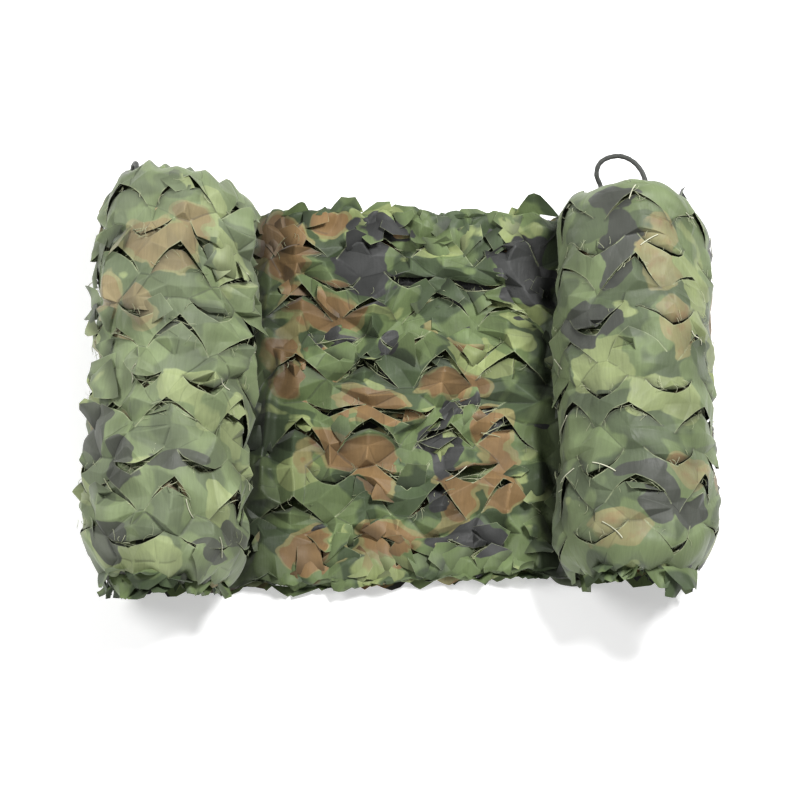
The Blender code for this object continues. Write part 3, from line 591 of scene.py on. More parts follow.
# ---- a cut sheet of cloth ----
class CutSheet:
    """Control points of a sheet, its triangles between them, and the fine surface."""

    def __init__(self, cloth, seed, fineness, calm_share=1.0):
        self.cloth = cloth
        self.chooser = random.Random(seed)
        self.fineness = fineness
        self.calm_share = calm_share
        self.flat = []
        self.rise = []
        self.slide = []
        self.copies = {}
        self.slit_of = {}
        self.lines = []
        self.forms = []
        self.ridges = []

    def keep(self, place, rise=0.0, slide=(0.0, 0.0)):
        self.flat.append(Vector(place))
        self.rise.append(rise)
        self.slide.append(Vector(slide))
        return len(self.flat) - 1

    def strength(self, u):
        return TOUGH_SHARE[self.cloth.section.region(u)] * self.calm_share

    def choose_forms(self):
        for leaf in self.cloth.leaves:
            calm = self.cloth.leaf_steadiness(leaf) < CALM_STEADINESS
            near_rim = self.cloth.off_rim(np.array([leaf.tip.y]))[0] < CALM_OFF_RIM
            taut = self.cloth.section.region(leaf.tip.x) == "right"
            taut = taut and self.chooser.random() < TAUT_SHARE
            self.forms.append(choose_form(self.chooser, calm or near_rim, taut))
            if self.chooser.random() < RIDGE_SHARE:
                self.ridges.append(self.chooser.uniform(*RIDGE_RISE))
            else:
                self.ridges.append(-self.chooser.uniform(*VALLEY_DEPTH))

    def add_rims(self):
        """The outline: a ragged near and far rim, and the two straight sides."""
        section = self.cloth.section
        stops = [0.0] + section.creases + [section.length]
        rim = [0.0]
        crease_places = []
        for start, end in zip(stops, stops[1:]):
            count = round((end - start) / (TOOTH_PITCH / 4)) + 1
            rim += spread(start, end, count)[1:]
            crease_places.append(len(rim) - 1)
        side = spread(0.0, NET_DEPTH, round(NET_DEPTH / FACET_PITCH) + 1)[1:-1]
        near = []
        far = []
        for number, u in enumerate(rim):
            loose = 0.0 if number in (0, len(rim) - 1) else 1.0
            for line, rim_t, sign in ((near, 0.0, 1.0), (far, NET_DEPTH, -1.0)):
                notch = self.chooser.uniform(*RIM_NOTCH) * loose
                rise = self.chooser.uniform(*RIM_RISE) * loose
                line.append(self.keep((u, rim_t + sign * notch), rise))
        right = [self.keep((section.length, t)) for t in side]
        left = [self.keep((0.0, t)) for t in side]
        for crease, place in zip(section.creases, crease_places):
            middle = [self.keep((crease, t)) for t in side]
            self.lines.append([near[place]] + middle + [far[place]])
        self.lines.append(near + right + far[::-1] + left[::-1] + near[:1])

    def add_leaf(self, number, leaf):
        """A leaf's slit, with a second set of points for the leaf's own side of it."""
        chooser = self.chooser
        form = self.forms[number]
        share = self.strength(leaf.tip.x)
        first_rise = -PINNED_DEPTH * chooser.uniform(*PINNED_SPREAD) * share
        last_rise = -PINNED_DEPTH * chooser.uniform(*PINNED_SPREAD) * share
        tip_rise = chooser.uniform(*form.collar) * share
        leaf.rises = (first_rise, tip_rise, last_rise)
        ridge = self.ridges[number] * share
        inner_tip = ridge * chooser.uniform(*INNER_TIP_SHARE)
        toward_tip = (leaf.tip - leaf.hinge).normalized()
        opening = OPEN_SHARE[self.cloth.section.region(leaf.tip.x)] * self.calm_share
        draw = toward_tip * chooser.uniform(*form.slide) * opening
        back = -toward_tip * (chooser.uniform(*form.back) * opening + LEAST_GAP)
        askew = Vector((-toward_tip.y, toward_tip.x)) * chooser.uniform(-ASKEW, ASKEW) * opening
        indices = []
        for step, place in enumerate(leaf.slit):
            toward = 1.0 - abs(step / SLIT_STEPS - 1.0)
            end_rise = first_rise if step < SLIT_STEPS else last_rise
            outer = end_rise + (tip_rise - end_rise) * toward
            index = self.keep(place, outer, draw * toward)
            self.slit_of[index] = number
            if 0.0 < toward:
                wave = chooser.uniform(-1.0, 1.0) * ARM_WAVE
                inner = end_rise + (inner_tip - end_rise) * toward + wave
                self.copies[(index, number)] = (inner, (back + askew) * toward)
            indices.append(index)
        self.lines.append(indices)
        middle = self.keep(leaf.hinge, ridge)
        end = self.keep(leaf.ridge_end(), ridge * RIDGE_END_SHARE)
        arch = (ridge + inner_tip) / 2 + chooser.uniform(*form.arch) * share
        centre = self.keep(leaf.hinge.lerp(leaf.tip, 0.5), arch, (back + askew) * CENTRE_DRAW)
        self.lines.append([indices[0], middle, indices[-1]])
        self.lines.append([end, middle, centre, indices[SLIT_STEPS]])

    def add_fill(self):
        """Facet corners over the rest of the cloth."""
        section = self.cloth.section
        rows = round(NET_DEPTH / (FACET_PITCH * FACET_ROW_SHARE))
        columns = int(section.length / FACET_PITCH)
        for row in range(1, rows):
            for column in range(columns + 1):
                jitter = [self.chooser.uniform(-FACET_JITTER, FACET_JITTER) for _ in range(2)]
                u = (column + 0.5 * (row % 2) + jitter[0]) * FACET_PITCH
                t = (row / rows) * NET_DEPTH + jitter[1] * FACET_PITCH
                place = Vector((u, t))
                off_border = min(u, section.length - u, t, NET_DEPTH - t)
                if min(off_border, section.crease_distance(u)) < FACET_PITCH * FACET_OFF_LINE:
                    continue
                if clear_of_leaves(self.cloth, place, FACET_PITCH * FACET_OFF_LEAF):
                    self.keep(place, self.chooser.uniform(*FACET_SPREAD) * FACET_RISE
                              * self.strength(u))

    def control_triangles(self):
        """Triangles as three (point, leaf copy) corners each, and the leaf they lie in."""
        edges = [edge for line in self.lines for edge in zip(line, line[1:])]
        flat, _, triangles, *_ = delaunay_2d_cdt(self.flat, edges, [], 1, SAME_PLACE)
        if len(flat) != len(self.flat):
            raise ValueError("two lines of the cut cross")
        result = []
        for corners in triangles:
            middle = sum((self.flat[corner] for corner in corners), Vector((0.0, 0.0))) / 3
            inside = -1
            for number, leaf in enumerate(self.cloth.leaves):
                if abs(leaf.tip.x - middle.x) < LEAF_PITCH and leaf.holds(middle):
                    inside = number
            named = [(corner, inside) if (corner, inside) in self.copies else (corner, -1)
                     for corner in corners]
            result.append((named, inside))
        return result

    def rim_crumple(self, flat):
        """Deep crumples along the middle's two rims."""
        u, t = flat[:, 0], flat[:, 1]
        from_rim = rim_distance(t)
        share = (1.0 - smooth_step(from_rim / RIM_CRUMPLE_REACH)) * self.cloth.steadiness(u)
        share = share * (1.0 - self.cloth.section.rollness(u)) * self.calm_share
        share = share * np.where(t < NET_DEPTH / 2, NEAR_CRUMPLE_SHARE, 1.0)
        ridges = np.abs(noise_field(u, t * RIM_CRUMPLE_STRETCH, RIM_CRUMPLE_SIZE, 63.0))
        return RIM_CRUMPLE * share * (ridges * RIM_CRUMPLE_GAIN - RIM_CRUMPLE_SINK)

    @staticmethod
    def soften(values, faces):
        """Round the folds off a little; a border, and so every lip, keeps its own line."""
        corners = np.array(faces)
        edges = np.concatenate([corners[:, [0, 1]], corners[:, [1, 2]], corners[:, [2, 0]]])
        edges = np.sort(edges, axis=1)
        unique, counts = np.unique(edges, axis=0, return_counts=True)
        border = np.zeros(len(values), bool)
        border[unique[counts == 1].ravel()] = True
        for _ in range(SOFTENING):
            total = np.zeros((len(values), 3))
            weight = np.zeros(len(values))
            for start, end in ((0, 1), (1, 0)):
                np.add.at(total, unique[:, start], values[unique[:, end], 2:5])
                np.add.at(weight, unique[:, start], 1.0)
            mean = total / weight[:, None]
            values[~border, 2:5] = (values[~border, 2:5] + mean[~border]) / 2

    def find_folds(self, triangles):
        """How sharply the cloth folds at each control edge: above zero up, below zero down."""
        beside = {}
        for named, _ in triangles:
            for number in range(3):
                edge = frozenset((named[number], named[(number + 1) % 3]))
                beside.setdefault(edge, []).append(named[(number + 2) % 3])
        folds = {}
        for edge, others in beside.items():
            if len(others) != 2:
                continue
            spots = []
            for corner, copy in list(edge) + others:
                rise = self.copies.get((corner, copy), (self.rise[corner], 0.0))[0]
                spots.append(Vector((*self.flat[corner], rise)))
            start, end, left, right = spots
            left_side = (end - start).cross(left - start).normalized()
            right_side = (right - start).cross(end - start).normalized()
            if left_side.z < 0.0:
                left_side = -left_side
            if right_side.z < 0.0:
                right_side = -right_side
            turn = math.degrees(left_side.angle(right_side, 0.0))
            hollow = left_side.dot(right - start) > 0.0
            folds[edge] = max(-1.0, min(1.0, (-turn if hollow else turn) / SHARP_FOLD))
        return folds

    def blend(self, named, weights):
        """A fine point's values: flat place, rise, slide, and its two marks, still zero."""
        row = np.zeros(7)
        for (corner, copy), weight in zip(named, weights):
            if weight:
                own = (self.rise[corner], self.slide[corner])
                rise, slide = self.copies.get((corner, copy), own)
                place = self.flat[corner]
                row += np.array((place.x, place.y, rise, slide.x, slide.y, 0.0, 0.0)) * weight
        return row

    def fine_surface(self):
        """Values of all fine points, the faces between them, and the points of each leaf."""
        triangles = self.control_triangles()
        folds = self.find_folds(triangles)
        n = self.fineness
        values = []
        lookup = {}
        faces = []
        members = {}
        for named, inside in triangles:
            grid = {}
            for i, j in [(i, j) for i in range(n + 1) for j in range(n + 1 - i)]:
                counts = (n - i - j, i, j)
                parts = sorted((name, count) for name, count in zip(named, counts) if count)
                key = tuple(parts) if len(parts) < 3 else (tuple(sorted(named)), counts)
                if key not in lookup:
                    lookup[key] = len(values)
                    values.append(self.blend(named, [count / n for count in counts]))
                index = lookup[key]
                grid[i, j] = index
                if inside >= 0:
                    members.setdefault(inside, set()).add(index)
                on_slit = {self.slit_of.get(name[0]) for name, _ in parts}
                if len(parts) < 3 and len(on_slit) == 1 and None not in on_slit:
                    values[index][LIP] = 1.0
                elif len(parts) == 2:
                    values[index][FOLD] = folds.get(frozenset(name for name, _ in parts), 0.0)
            for i in range(n):
                for j in range(n - i):
                    faces.append((grid[i, j], grid[i + 1, j], grid[i, j + 1]))
                    if i + j < n - 1:
                        faces.append((grid[i + 1, j], grid[i + 1, j + 1], grid[i, j + 1]))
        return np.array(values), faces, members

    def bend_leaves(self, members, flat, bent, height):
        """Bend every leaf where it is kept, and work out its print's shifts and its painted shade.
        """
        bias = np.zeros((len(flat), 3))
        painted_shade = self.cloth.valley_painted_shade(flat[:, 0])
        for number, leaf in enumerate(self.cloth.leaves):
            rows = np.array(sorted(members[number]))
            form = self.forms[number]
            region = self.cloth.section.region(leaf.tip.x)
            along = np.array(leaf.tip - leaf.hinge)
            part = (flat[rows] - np.array(leaf.hinge)) @ along / (along @ along)
            own = [self.chooser.uniform(-TONE_STEP[region], TONE_STEP[region]) for _ in range(3)]
            bias[rows] = np.outer(smooth_step(part * TONE_RUN), own)
            # A sunk or tucked leaf is given painted shade along its slit, under the lip.
            if form.name in ("sunk", "tucked"):
                off_slit = polyline_distance(flat[rows], leaf.slit)
                painted_shade[rows] *= 1.0 - LIP_PAINTED_SHADE * np.exp(-off_slit / LIP_PAINTED_SHADE_REACH[region])
            bend = Bend(leaf, form, self.chooser, self.strength(leaf.tip.x))
            bent[rows], height[rows] = bend.apply(bent[rows], height[rows])
        return bias, painted_shade

    def build(self):
        """The fine surface: flat places, places bent, heights, faces and marks."""
        self.choose_forms()
        self.add_rims()
        for number, leaf in enumerate(self.cloth.leaves):
            self.add_leaf(number, leaf)
        self.add_fill()
        values, faces, members = self.fine_surface()
        self.soften(values, faces)
        flat = values[:, :2].copy()
        u, t = flat[:, 0], flat[:, 1]
        section = self.cloth.section
        bent = flat + values[:, 3:5]
        off_crease = smooth_step(section.crease_distance(u) / CREASE_SINK_REACH)
        height = values[:, 2] * self.cloth.steadiness(u) - CREASE_SINK * (1.0 - off_crease)
        bias, painted_shade = self.bend_leaves(members, flat, bent, height)
        from_rim = rim_distance(t)
        bound = section.rollness(u) * (1.0 - smooth_step(from_rim / HEM_REACH))
        height *= 1.0 - HEM_HOLD * bound
        bent += self.cloth.drift(flat)
        height += self.rim_crumple(flat)
        for fold in SOFT_FOLDS:
            height += fold_height(flat, fold)
        height += FINE_RISE * noise_field(u, t, FINE_SIZE, 5.3)
        # Marks: lips, folds, painted shade, painted sheen and the print's bias.
        marks = {"lip": values[:, LIP], "fold": values[:, FOLD], "painted_shade": painted_shade,
                 "painted_sheen": self.cloth.painted_sheen_field(flat), "bias": bias}
        return flat, bent, height, faces, marks


# ---- turns of cloth inside a roll ----
SEEDS = {"ground": 5, "tips": 77, "loose": 83, "strings": 19, "crossing": 29}
TURNS = 7
OUTER_TURN = 0.97
INNER_TURN = 0.14
TURN_STEPS = 56
TURN_ROWS = (-1.0, -0.985, -0.965, -0.94, -0.90, -0.84, -0.6, 0.0, 0.6, 0.84, 0.90, 0.94,
             0.965, 0.985, 1.0)
TURN_WAVE = 0.0030
TURN_WAVE_SIZE = 0.05
TURN_LEAN = 0.0055
TURN_LEAN_SIZE = 0.03
TURN_FOOT = 0.003  # no turn comes closer to the ground
TURN_PAST_END = 0.003  # the turns stand this far out of the roll's own end
TURN_U = 2.0  # where the turns' print starts along u
DOME_FROM = 0.95  # the ends swell from this share of the reach inwards,
DOME_RUN = 0.40  # over this much of it,
HOLLOW_RUN = 0.30  # and sink in again within this one
EDGE_FROM = 0.80  # a turn's edge leans and is ragged from here on
EDGE_RUN = 0.20
EDGE_NOTCH = 0.013
EDGE_PITCH = 0.021
NOTCH_POWER = 1.5  # makes small notches more usual than deep ones


def roll_end_reach(angle):
    """Distance from a roll's middle to its end's rim in one direction."""
    top = ROLL_HEIGHT - ROLL_ROUNDING
    half_width = ROLL_WIDTH / 2 - ROLL_ROUNDING
    half_height = top * (1.0 - END_WAIST if math.sin(angle) > 0.0 else END_WAIST)
    return half_width * half_height / math.hypot(
        half_height * math.cos(angle), half_width * math.sin(angle)
    )


def add_turns(name, side, seed, material):
    """One long sheet wound up inside a roll, its two edges ragged with leaf tips."""
    chooser = random.Random(seed)
    middle_x = side * ROLL_SPACING / 2
    middle_z = (ROLL_HEIGHT - ROLL_ROUNDING) * END_WAIST
    count = TURNS * TURN_STEPS
    notches = [[chooser.uniform(0.0, 1.0) ** NOTCH_POWER for _ in range(count)] for _ in range(2)]
    points = []
    flat = []
    length = 0.0
    before = None
    for step in range(count + 1):
        wound = step / TURN_STEPS
        angle = side * wound * math.tau
        share = OUTER_TURN - (OUTER_TURN - INNER_TURN) * wound / TURNS
        dome = END_DOME * smooth_step((DOME_FROM - share) / DOME_RUN)
        hollow = END_HOLLOW * (1.0 - smooth_step(share / HOLLOW_RUN))
        base = share * roll_end_reach(angle)
        here = Vector((math.cos(angle), math.sin(angle))) * base
        length += (here - before).length if before else 0.0
        before = here
        for row in TURN_ROWS:
            near_end = smooth_step((abs(row) - EDGE_FROM) / EDGE_RUN)
            place = (length / TURN_WAVE_SIZE, row * 4.0, 3.0 + side)
            reach = base + TURN_WAVE * noise.noise(place)
            lean = noise.noise((length / TURN_LEAN_SIZE, math.copysign(7.0, row), side))
            reach += TURN_LEAN * lean * near_end
            x = middle_x + math.cos(angle) * reach
            z = max(TURN_FOOT, middle_z + math.sin(angle) * reach)
            tooth, part = divmod(length / EDGE_PITCH, 1.0)
            notch = 1.0 - abs(2.0 * part - 1.0) * notches[row > 0][int(tooth)]
            end = float(end_reach(x, row > 0)) + dome - hollow + TURN_PAST_END
            y = row * (end - EDGE_NOTCH * notch * near_end)
            points.append((x + FRAME_SHIFT[0], y + FRAME_SHIFT[1], z))
            flat.append((length + TURN_U, row * NET_DEPTH / 2))
    faces = grid_faces(count + 1, len(TURN_ROWS))
    item = finish_cloth(name, points, faces, flat, material, shift=3.0 * side)


# ---- the cloth that lies on the ground ----
GROUND_COLUMNS = 60
GROUND_ROWS = 28
GROUND_RAGGED = (-0.003, 0.010)
GROUND_RAGGED_FROM = 0.9  # its two edges are ragged from here on
GROUND_RAGGED_RUN = 0.1
GROUND_HEIGHT = 0.0012
GROUND_WAVE = 0.0010
GROUND_WAVE_SIZE = 0.03
GROUND_U = 4.0  # where its print starts along u


def add_ground_cloth(material):
    chooser = random.Random(SEEDS["ground"])
    half = Section().points[-1][0]
    points = []
    flat = []
    for column in range(GROUND_COLUMNS + 1):
        x = -half + 2 * half * column / GROUND_COLUMNS
        ragged = [chooser.uniform(*GROUND_RAGGED) for _ in range(2)]
        for row in range(GROUND_ROWS + 1):
            part = 2.0 * row / GROUND_ROWS - 1.0
            far = part > 0.0
            near_edge = smooth_step((abs(part) - GROUND_RAGGED_FROM) / GROUND_RAGGED_RUN)
            reach = float(end_reach(x, far)) + ragged[far] * near_edge
            wave = noise.noise((x / GROUND_WAVE_SIZE, part * 8.0, 1.0))
            z = GROUND_HEIGHT + GROUND_WAVE * wave
            points.append((x + FRAME_SHIFT[0], part * reach + FRAME_SHIFT[1], z))
            flat.append((x + GROUND_U, part * NET_DEPTH / 2))
    faces = grid_faces(GROUND_COLUMNS + 1, GROUND_ROWS + 1, turned=True)
    item = finish_cloth("ground_cloth", points, faces, flat, material, shift=9.0)


# ---- leaf tips that stick out of the two ends ----
TIP_COUNT = {"outer": 46, "second": 44, "inner": 36}
TIP_WIDTH = (0.030, 0.058)
TIP_LENGTH = (0.014, 0.028)
TIP_LEAN = (-40.0, 62.0)
TIP_CURL = (-50.0, 70.0)
TIP_STEPS = 6
TIP_SIDES = (-1.0, -0.5, 0.0, 0.5, 1.0)
TIP_SKEW = (-0.5, 0.5)
TIP_SKEW_STEP = 0.003
TIP_CREASE = (-0.008, 0.008)
TIP_BLUNT = (0.55, 0.95)
TIP_TAPER = 1.2
TIP_INSET = 0.003  # a tip starts this far in from the rim,
TIP_ROOT = 0.004  # and this far back under the cloth
TIP_LOWEST = 0.0010
TIP_OFF_SIDE = 0.03
# Big flaps of the rims: which rim, place u, width, length, lean and curl in degrees.
BigFlap = namedtuple("BigFlap", "end u width length lean curl")
BIG_FLAPS = (
    BigFlap("far", 0.742, 0.052, 0.026, 42.0, 0.0),
    BigFlap("far", 0.520, 0.040, 0.018, 30.0, 0.0),
    BigFlap("far", 0.462, 0.034, 0.016, 35.0, 0.0),
    BigFlap("near", 0.902, 0.036, 0.024, -14.0, 16.0),
    BigFlap("near", 0.938, 0.030, 0.017, -24.0, 20.0),
    BigFlap("near", 0.981, 0.040, 0.027, -16.0, 22.0),
    BigFlap("near", 1.010, 0.034, 0.030, -10.0, -12.0),
    BigFlap("near", 0.165, 0.036, 0.015, -22.0, 10.0),
    BigFlap("near", 0.232, 0.034, 0.014, -26.0, 14.0),
)
# Spans of x at the far rim where no tips stand.
LOOP_SPANS = ((0.195, 0.290), (-0.335, -0.275), (-0.195, -0.135))
TIP_TOP = 0.075  # none at the far rim start higher than this,
TIP_FOOT = 0.007  # and none at all lower than this
MIDDLE_TIP_SHARE = {"far": 0.55, "near": 0.58}


class Tips:
    """Leaf tips and flaps on the rims, gathered into one mesh."""

    def __init__(self, chooser):
        self.chooser = chooser
        self.points = []
        self.faces = []
        self.flat = []

    def add(self, cloth, u, far, size, lean, curl):
        section = cloth.section
        width, length = size
        skew = self.chooser.uniform(*TIP_SKEW)
        crease = self.chooser.uniform(*TIP_CREASE)
        blunt = self.chooser.uniform(*TIP_BLUNT)
        rim = NET_DEPTH - TIP_INSET if far else TIP_INSET
        base = np.array([u - width / 2, u, u + width / 2])
        across = cloth.place(base, np.full(3, rim), np.zeros(3))
        if across[:, 2].min() < TIP_FOOT or section.crease_distance(u) < width * 0.5:
            return
        by_loop = any(low < across[1][0] < high for low, high in LOOP_SPANS)
        if far and (across[1][2] > TIP_TOP or by_loop):
            return
        tangent = Vector(across[2] - across[0]).normalized()
        outward = Vector((0.0, 1.0 if far else -1.0, 0.0))
        normal = tangent.cross(outward).normalized()
        up = section.normal(u)
        if normal.x * up[0] + normal.z * up[1] < 0.0:
            normal = -normal
        self.faces += grid_faces(TIP_STEPS + 1, len(TIP_SIDES), len(self.points))
        place = Vector(across[1]) - outward * TIP_ROOT
        for row in range(TIP_STEPS + 1):
            part = row / TIP_STEPS
            angle = lean + curl * part
            ahead = outward * math.cos(angle) + normal * math.sin(angle)
            if row:
                place = place + ahead * length / TIP_STEPS + tangent * skew * TIP_SKEW_STEP
            rise = -outward * math.sin(angle) + normal * math.cos(angle)
            half = width / 2 * (1.0 - blunt * part ** TIP_TAPER)
            for side in TIP_SIDES:
                point = place + tangent * side * half + rise * crease * (1.0 - abs(side))
                point.z = max(TIP_LOWEST, point.z)
                self.points.append(point)
                self.flat.append((u + side * half, rim + (part if far else -part) * length))


def add_leaf_tips(cloths, material):
    chooser = random.Random(SEEDS["tips"])
    tips = Tips(chooser)
    for name, cloth in cloths.items():
        for _ in range(TIP_COUNT[name]):
            u = chooser.uniform(TIP_OFF_SIDE, cloth.section.length - TIP_OFF_SIDE)
            far = chooser.random() < 0.5
            size = [chooser.uniform(*TIP_WIDTH), chooser.uniform(*TIP_LENGTH)]
            if cloth.section.region(u) == "middle":
                size[1] *= MIDDLE_TIP_SHARE["far" if far else "near"]
            lean = math.radians(chooser.uniform(*TIP_LEAN))
            curl = math.radians(chooser.uniform(*TIP_CURL))
            tips.add(cloth, u, far, size, lean, curl)
    for flap in BIG_FLAPS:
        tips.add(cloths["outer"], flap.u, flap.end == "far", (flap.width, flap.length),
                 math.radians(flap.lean), math.radians(flap.curl))
    finish_cloth("leaf_tips", tips.points, tips.faces, tips.flat, material)


# ---- leaves of the folds below, loose between and inside the slits ----
LOOSE_SHARE = {"left": 0.40, "middle": 0.80, "right": 0.0}
LOOSE_WIDTH = (0.024, 0.044)
LOOSE_LENGTH = (0.020, 0.036)
LOOSE_LEAN = (10.0, 38.0)
LOOSE_CURL = (-55.0, 25.0)
LOOSE_TURN = (5.0, 75.0)
LOOSE_FOOT = (-0.003, 0.002)
# Painted shade at a loose leaf's root, which fades out along the leaf.
LOOSE_ROOT_PAINTED_SHADE = 0.60
LOOSE_ROOT = 0.007  # how far beyond the slit's tip a loose leaf starts
LOOSE_TONE_STEP = 0.45
LOOSE_BLUNT = (0.25, 0.85)
LOOSE_TAPER = 1.3
LOOSE_SKEW = (-0.35, 0.35)
LOOSE_CREASE = (-0.0035, 0.0045)
LOOSE_CREASE_RUN = 3.0  # the crease is whole after a third of the leaf
LOOSE_ROOT_PAINTED_SHADE_RUN = 1.6
LOOSE_OFF_LINE = 0.010
LOOSE_OFF_RIM = 0.008
LOOSE_JITTER = 0.35
LOOSE_STEADINESS = 0.5  # where the cloth has less, no slit has a loose leaf
# Stretches with loose leaves between the slits: where, spacing, share of the places that have
# one, how far they stay off a slit, heading round from along u and lean, both in degrees.
LooseField = namedtuple("LooseField", "u t end_u end_t pitch share clear heading lean")
LOOSE_FIELDS = (
    LooseField(0.430, 0.012, 0.765, 0.446, 0.034, 0.85, 0.013, (-180.0, 180.0), (6.0, 28.0)),
    LooseField(0.430, 0.014, 0.765, 0.048, 0.027, 0.85, 0.005, (-180.0, 180.0), (10.0, 36.0)),
    LooseField(0.430, 0.410, 0.765, 0.440, 0.027, 0.80, 0.005, (-180.0, 180.0), (10.0, 36.0)),
    LooseField(0.140, 0.030, 0.340, 0.440, 0.052, 0.45, 0.010, (-180.0, 180.0), (4.0, 20.0)),
    LooseField(0.055, 0.020, 0.120, 0.440, 0.037, 0.70, 0.004, (130.0, 230.0), (14.0, 40.0)),
)
LOOSE_ROWS = (0.0, 0.2, 0.4, 0.6, 0.8, 0.95, 1.0)
LOOSE_COLUMNS = (-1.0, -0.92, -0.45, 0.0, 0.45, 0.92, 1.0)


class LooseLeaves:
    """Leaves of the folds below that come up through the cloth, gathered into one mesh."""

    def __init__(self, cloth, seed):
        self.cloth = cloth
        self.chooser = random.Random(seed)
        self.part = np.array(LOOSE_ROWS)
        self.side = np.array(LOOSE_COLUMNS)
        self.points = []
        self.flat = []
        self.faces = []
        self.marks = {"bias": [], "lip": [], "painted_shade": []}

    def add(self, base, heading, lean_range):
        """One leaf from its base on, heading that many radians round from along u."""
        chooser = self.chooser
        part, side = self.part, self.side
        width = chooser.uniform(*LOOSE_WIDTH)
        length = chooser.uniform(*LOOSE_LENGTH)
        lean = math.radians(chooser.uniform(*lean_range))
        curl = math.radians(chooser.uniform(*LOOSE_CURL))
        blunt = chooser.uniform(*LOOSE_BLUNT)
        skew = chooser.uniform(*LOOSE_SKEW)
        crease = chooser.uniform(*LOOSE_CREASE)
        foot = chooser.uniform(*LOOSE_FOOT)
        own = [chooser.uniform(-LOOSE_TONE_STEP, LOOSE_TONE_STEP) for _ in range(3)]
        ahead = np.array((math.cos(heading), math.sin(heading)))
        across = np.array((-ahead[1], ahead[0]))
        angle = lean + curl * part
        run = np.diff(part) * length
        reach = np.concatenate(([0.0], np.cumsum(np.cos(angle[1:]) * run)))
        rise = np.concatenate(([0.0], np.cumsum(np.sin(angle[1:]) * run)))
        half = width / 2 * (1.0 - blunt * part ** LOOSE_TAPER)
        beside = (np.outer(half, side) + (skew * length * part)[:, None])[:, :, None] * across
        place = (base + reach[:, None, None] * ahead + beside).reshape(-1, 2)
        flat = (base + (part * length)[:, None, None] * ahead + beside).reshape(-1, 2)
        ridge = np.outer(np.minimum(1.0, part * LOOSE_CREASE_RUN), 1.0 - np.abs(side))
        height = (foot + rise[:, None] + crease * ridge).ravel()
        place = place + self.cloth.drift(place)
        self.faces += grid_faces(len(part), len(side), len(self.points))
        self.points += self.cloth.place(place[:, 0], place[:, 1], height).tolist()
        self.flat += flat.tolist()
        border = np.maximum((np.abs(side) == 1.0)[None, :], (part == 1.0)[:, None])
        painted_shade = 1.0 - LOOSE_ROOT_PAINTED_SHADE * (1.0 - smooth_step(part * LOOSE_ROOT_PAINTED_SHADE_RUN))
        self.marks["bias"] += [own] * len(place)
        self.marks["lip"] += border.ravel().astype(float).tolist()
        self.marks["painted_shade"] += np.repeat(painted_shade, len(side)).tolist()

    def add_in_slits(self):
        for leaf in self.cloth.leaves:
            turn = math.radians(self.chooser.uniform(*LOOSE_TURN))
            turn *= self.chooser.choice((-1.0, 1.0))
            off_line = self.chooser.uniform(-LOOSE_OFF_LINE, LOOSE_OFF_LINE)
            wanted = self.chooser.random() < LOOSE_SHARE[self.cloth.section.region(leaf.tip.x)]
            if not wanted or self.cloth.leaf_steadiness(leaf) < LOOSE_STEADINESS:
                continue
            back = (leaf.hinge - leaf.tip).normalized()
            heading = math.atan2(back.y, back.x) + turn
            base = np.array(leaf.tip - back * LOOSE_ROOT)
            base = base + np.array((-math.sin(heading), math.cos(heading))) * off_line
            self.add(base, heading, LOOSE_LEAN)

    def add_between(self, field):
        """Leaves over a stretch of cloth, where they stay clear of the slits."""
        least, most = LOOSE_OFF_RIM, NET_DEPTH - LOOSE_OFF_RIM
        for row in range(round((field.end_t - field.t) / field.pitch) + 1):
            for column in range(round((field.end_u - field.u) / field.pitch) + 1):
                off_u = self.chooser.uniform(-LOOSE_JITTER, LOOSE_JITTER)
                off_t = self.chooser.uniform(-LOOSE_JITTER, LOOSE_JITTER)
                u = field.u + (column + 0.5 * (row % 2) + off_u) * field.pitch
                t = min(most, max(least, field.t + (row + off_t) * field.pitch))
                heading = math.radians(self.chooser.uniform(*field.heading))
                wanted = self.chooser.random() < field.share
                if wanted and clear_of_leaves(self.cloth, Vector((u, t)), field.clear):
                    self.add(np.array((u, t)), heading, field.lean)


def add_loose_leaves(cloth, material):
    leaves = LooseLeaves(cloth, SEEDS["loose"])
    leaves.add_in_slits()
    for field in LOOSE_FIELDS:
        leaves.add_between(field)
    flat = np.array(leaves.flat)
    marks = {mark: np.array(values) for mark, values in leaves.marks.items()}
    # Painted shade at the roots, and in the valleys as on the cloth.
    marks["painted_shade"] *= cloth.valley_painted_shade(flat[:, 0])
    marks["painted_sheen"] = cloth.painted_sheen_field(flat)
    finish_cloth("loose_leaves", leaves.points, leaves.faces, flat, material, marks=marks)


# ---- strings of the mesh and frayed threads ----
STRINGS_PER_SLIT = (1, 3)
STRING_RADIUS = (0.00042, 0.00062)
STRING_PLACE = (0.35, 1.0)  # of the way from a slit's end to its tip
STRING_PAST = 0.007  # a string runs on under the cloth by this much
STRING_POINTS = 9
STRING_SAG = 0.004
STRING_DEPTH = 0.0035
STRING_HANG = 0.0015
SHORTEST_RUN = 0.002  # strings shorter than this run along u
STRING_SIDES = 4
THREADS_PER_SLIT = (4, 9)
THREAD_RADIUS = (0.00016, 0.00030)
THREAD_PLACE = (0.15, 1.0)
THREAD_TURN = 0.9  # radians, as is the bend
THREAD_BEND = 1.6
THREAD_REACH = (0.005, 0.016)
THREAD_LIFT = 0.0004
THREAD_CLIMB = (-0.002, 0.004)
THREAD_SWING = 2.4
THREAD_POINTS = 8
CROSSING_SHARE = {"left": 0.30, "middle": 0.10, "right": 0.50}
CROSSING_PLACE = (0.3, 1.0)
CROSSING_TURN = 0.9
CROSSING_REACH = (0.007, 0.014)
CROSSING_BOW = 0.25
CROSSING_POINTS = 13
CROSSING_LEAST = 8  # points of it that have to lie on the cloth
CROSSING_RADIUS = 0.00060
CROSSING_LIFT = 0.0010
CROSSING_SIDES = 5
LOOK_FROM = 0.030  # the cloth is looked for from this height down to that depth
LOOK_TO = -0.012
LOOK_REACH = 0.05


def turned(way, angle):
    return Vector((way.x * math.cos(angle) - way.y * math.sin(angle),
                   way.x * math.sin(angle) + way.y * math.cos(angle)))


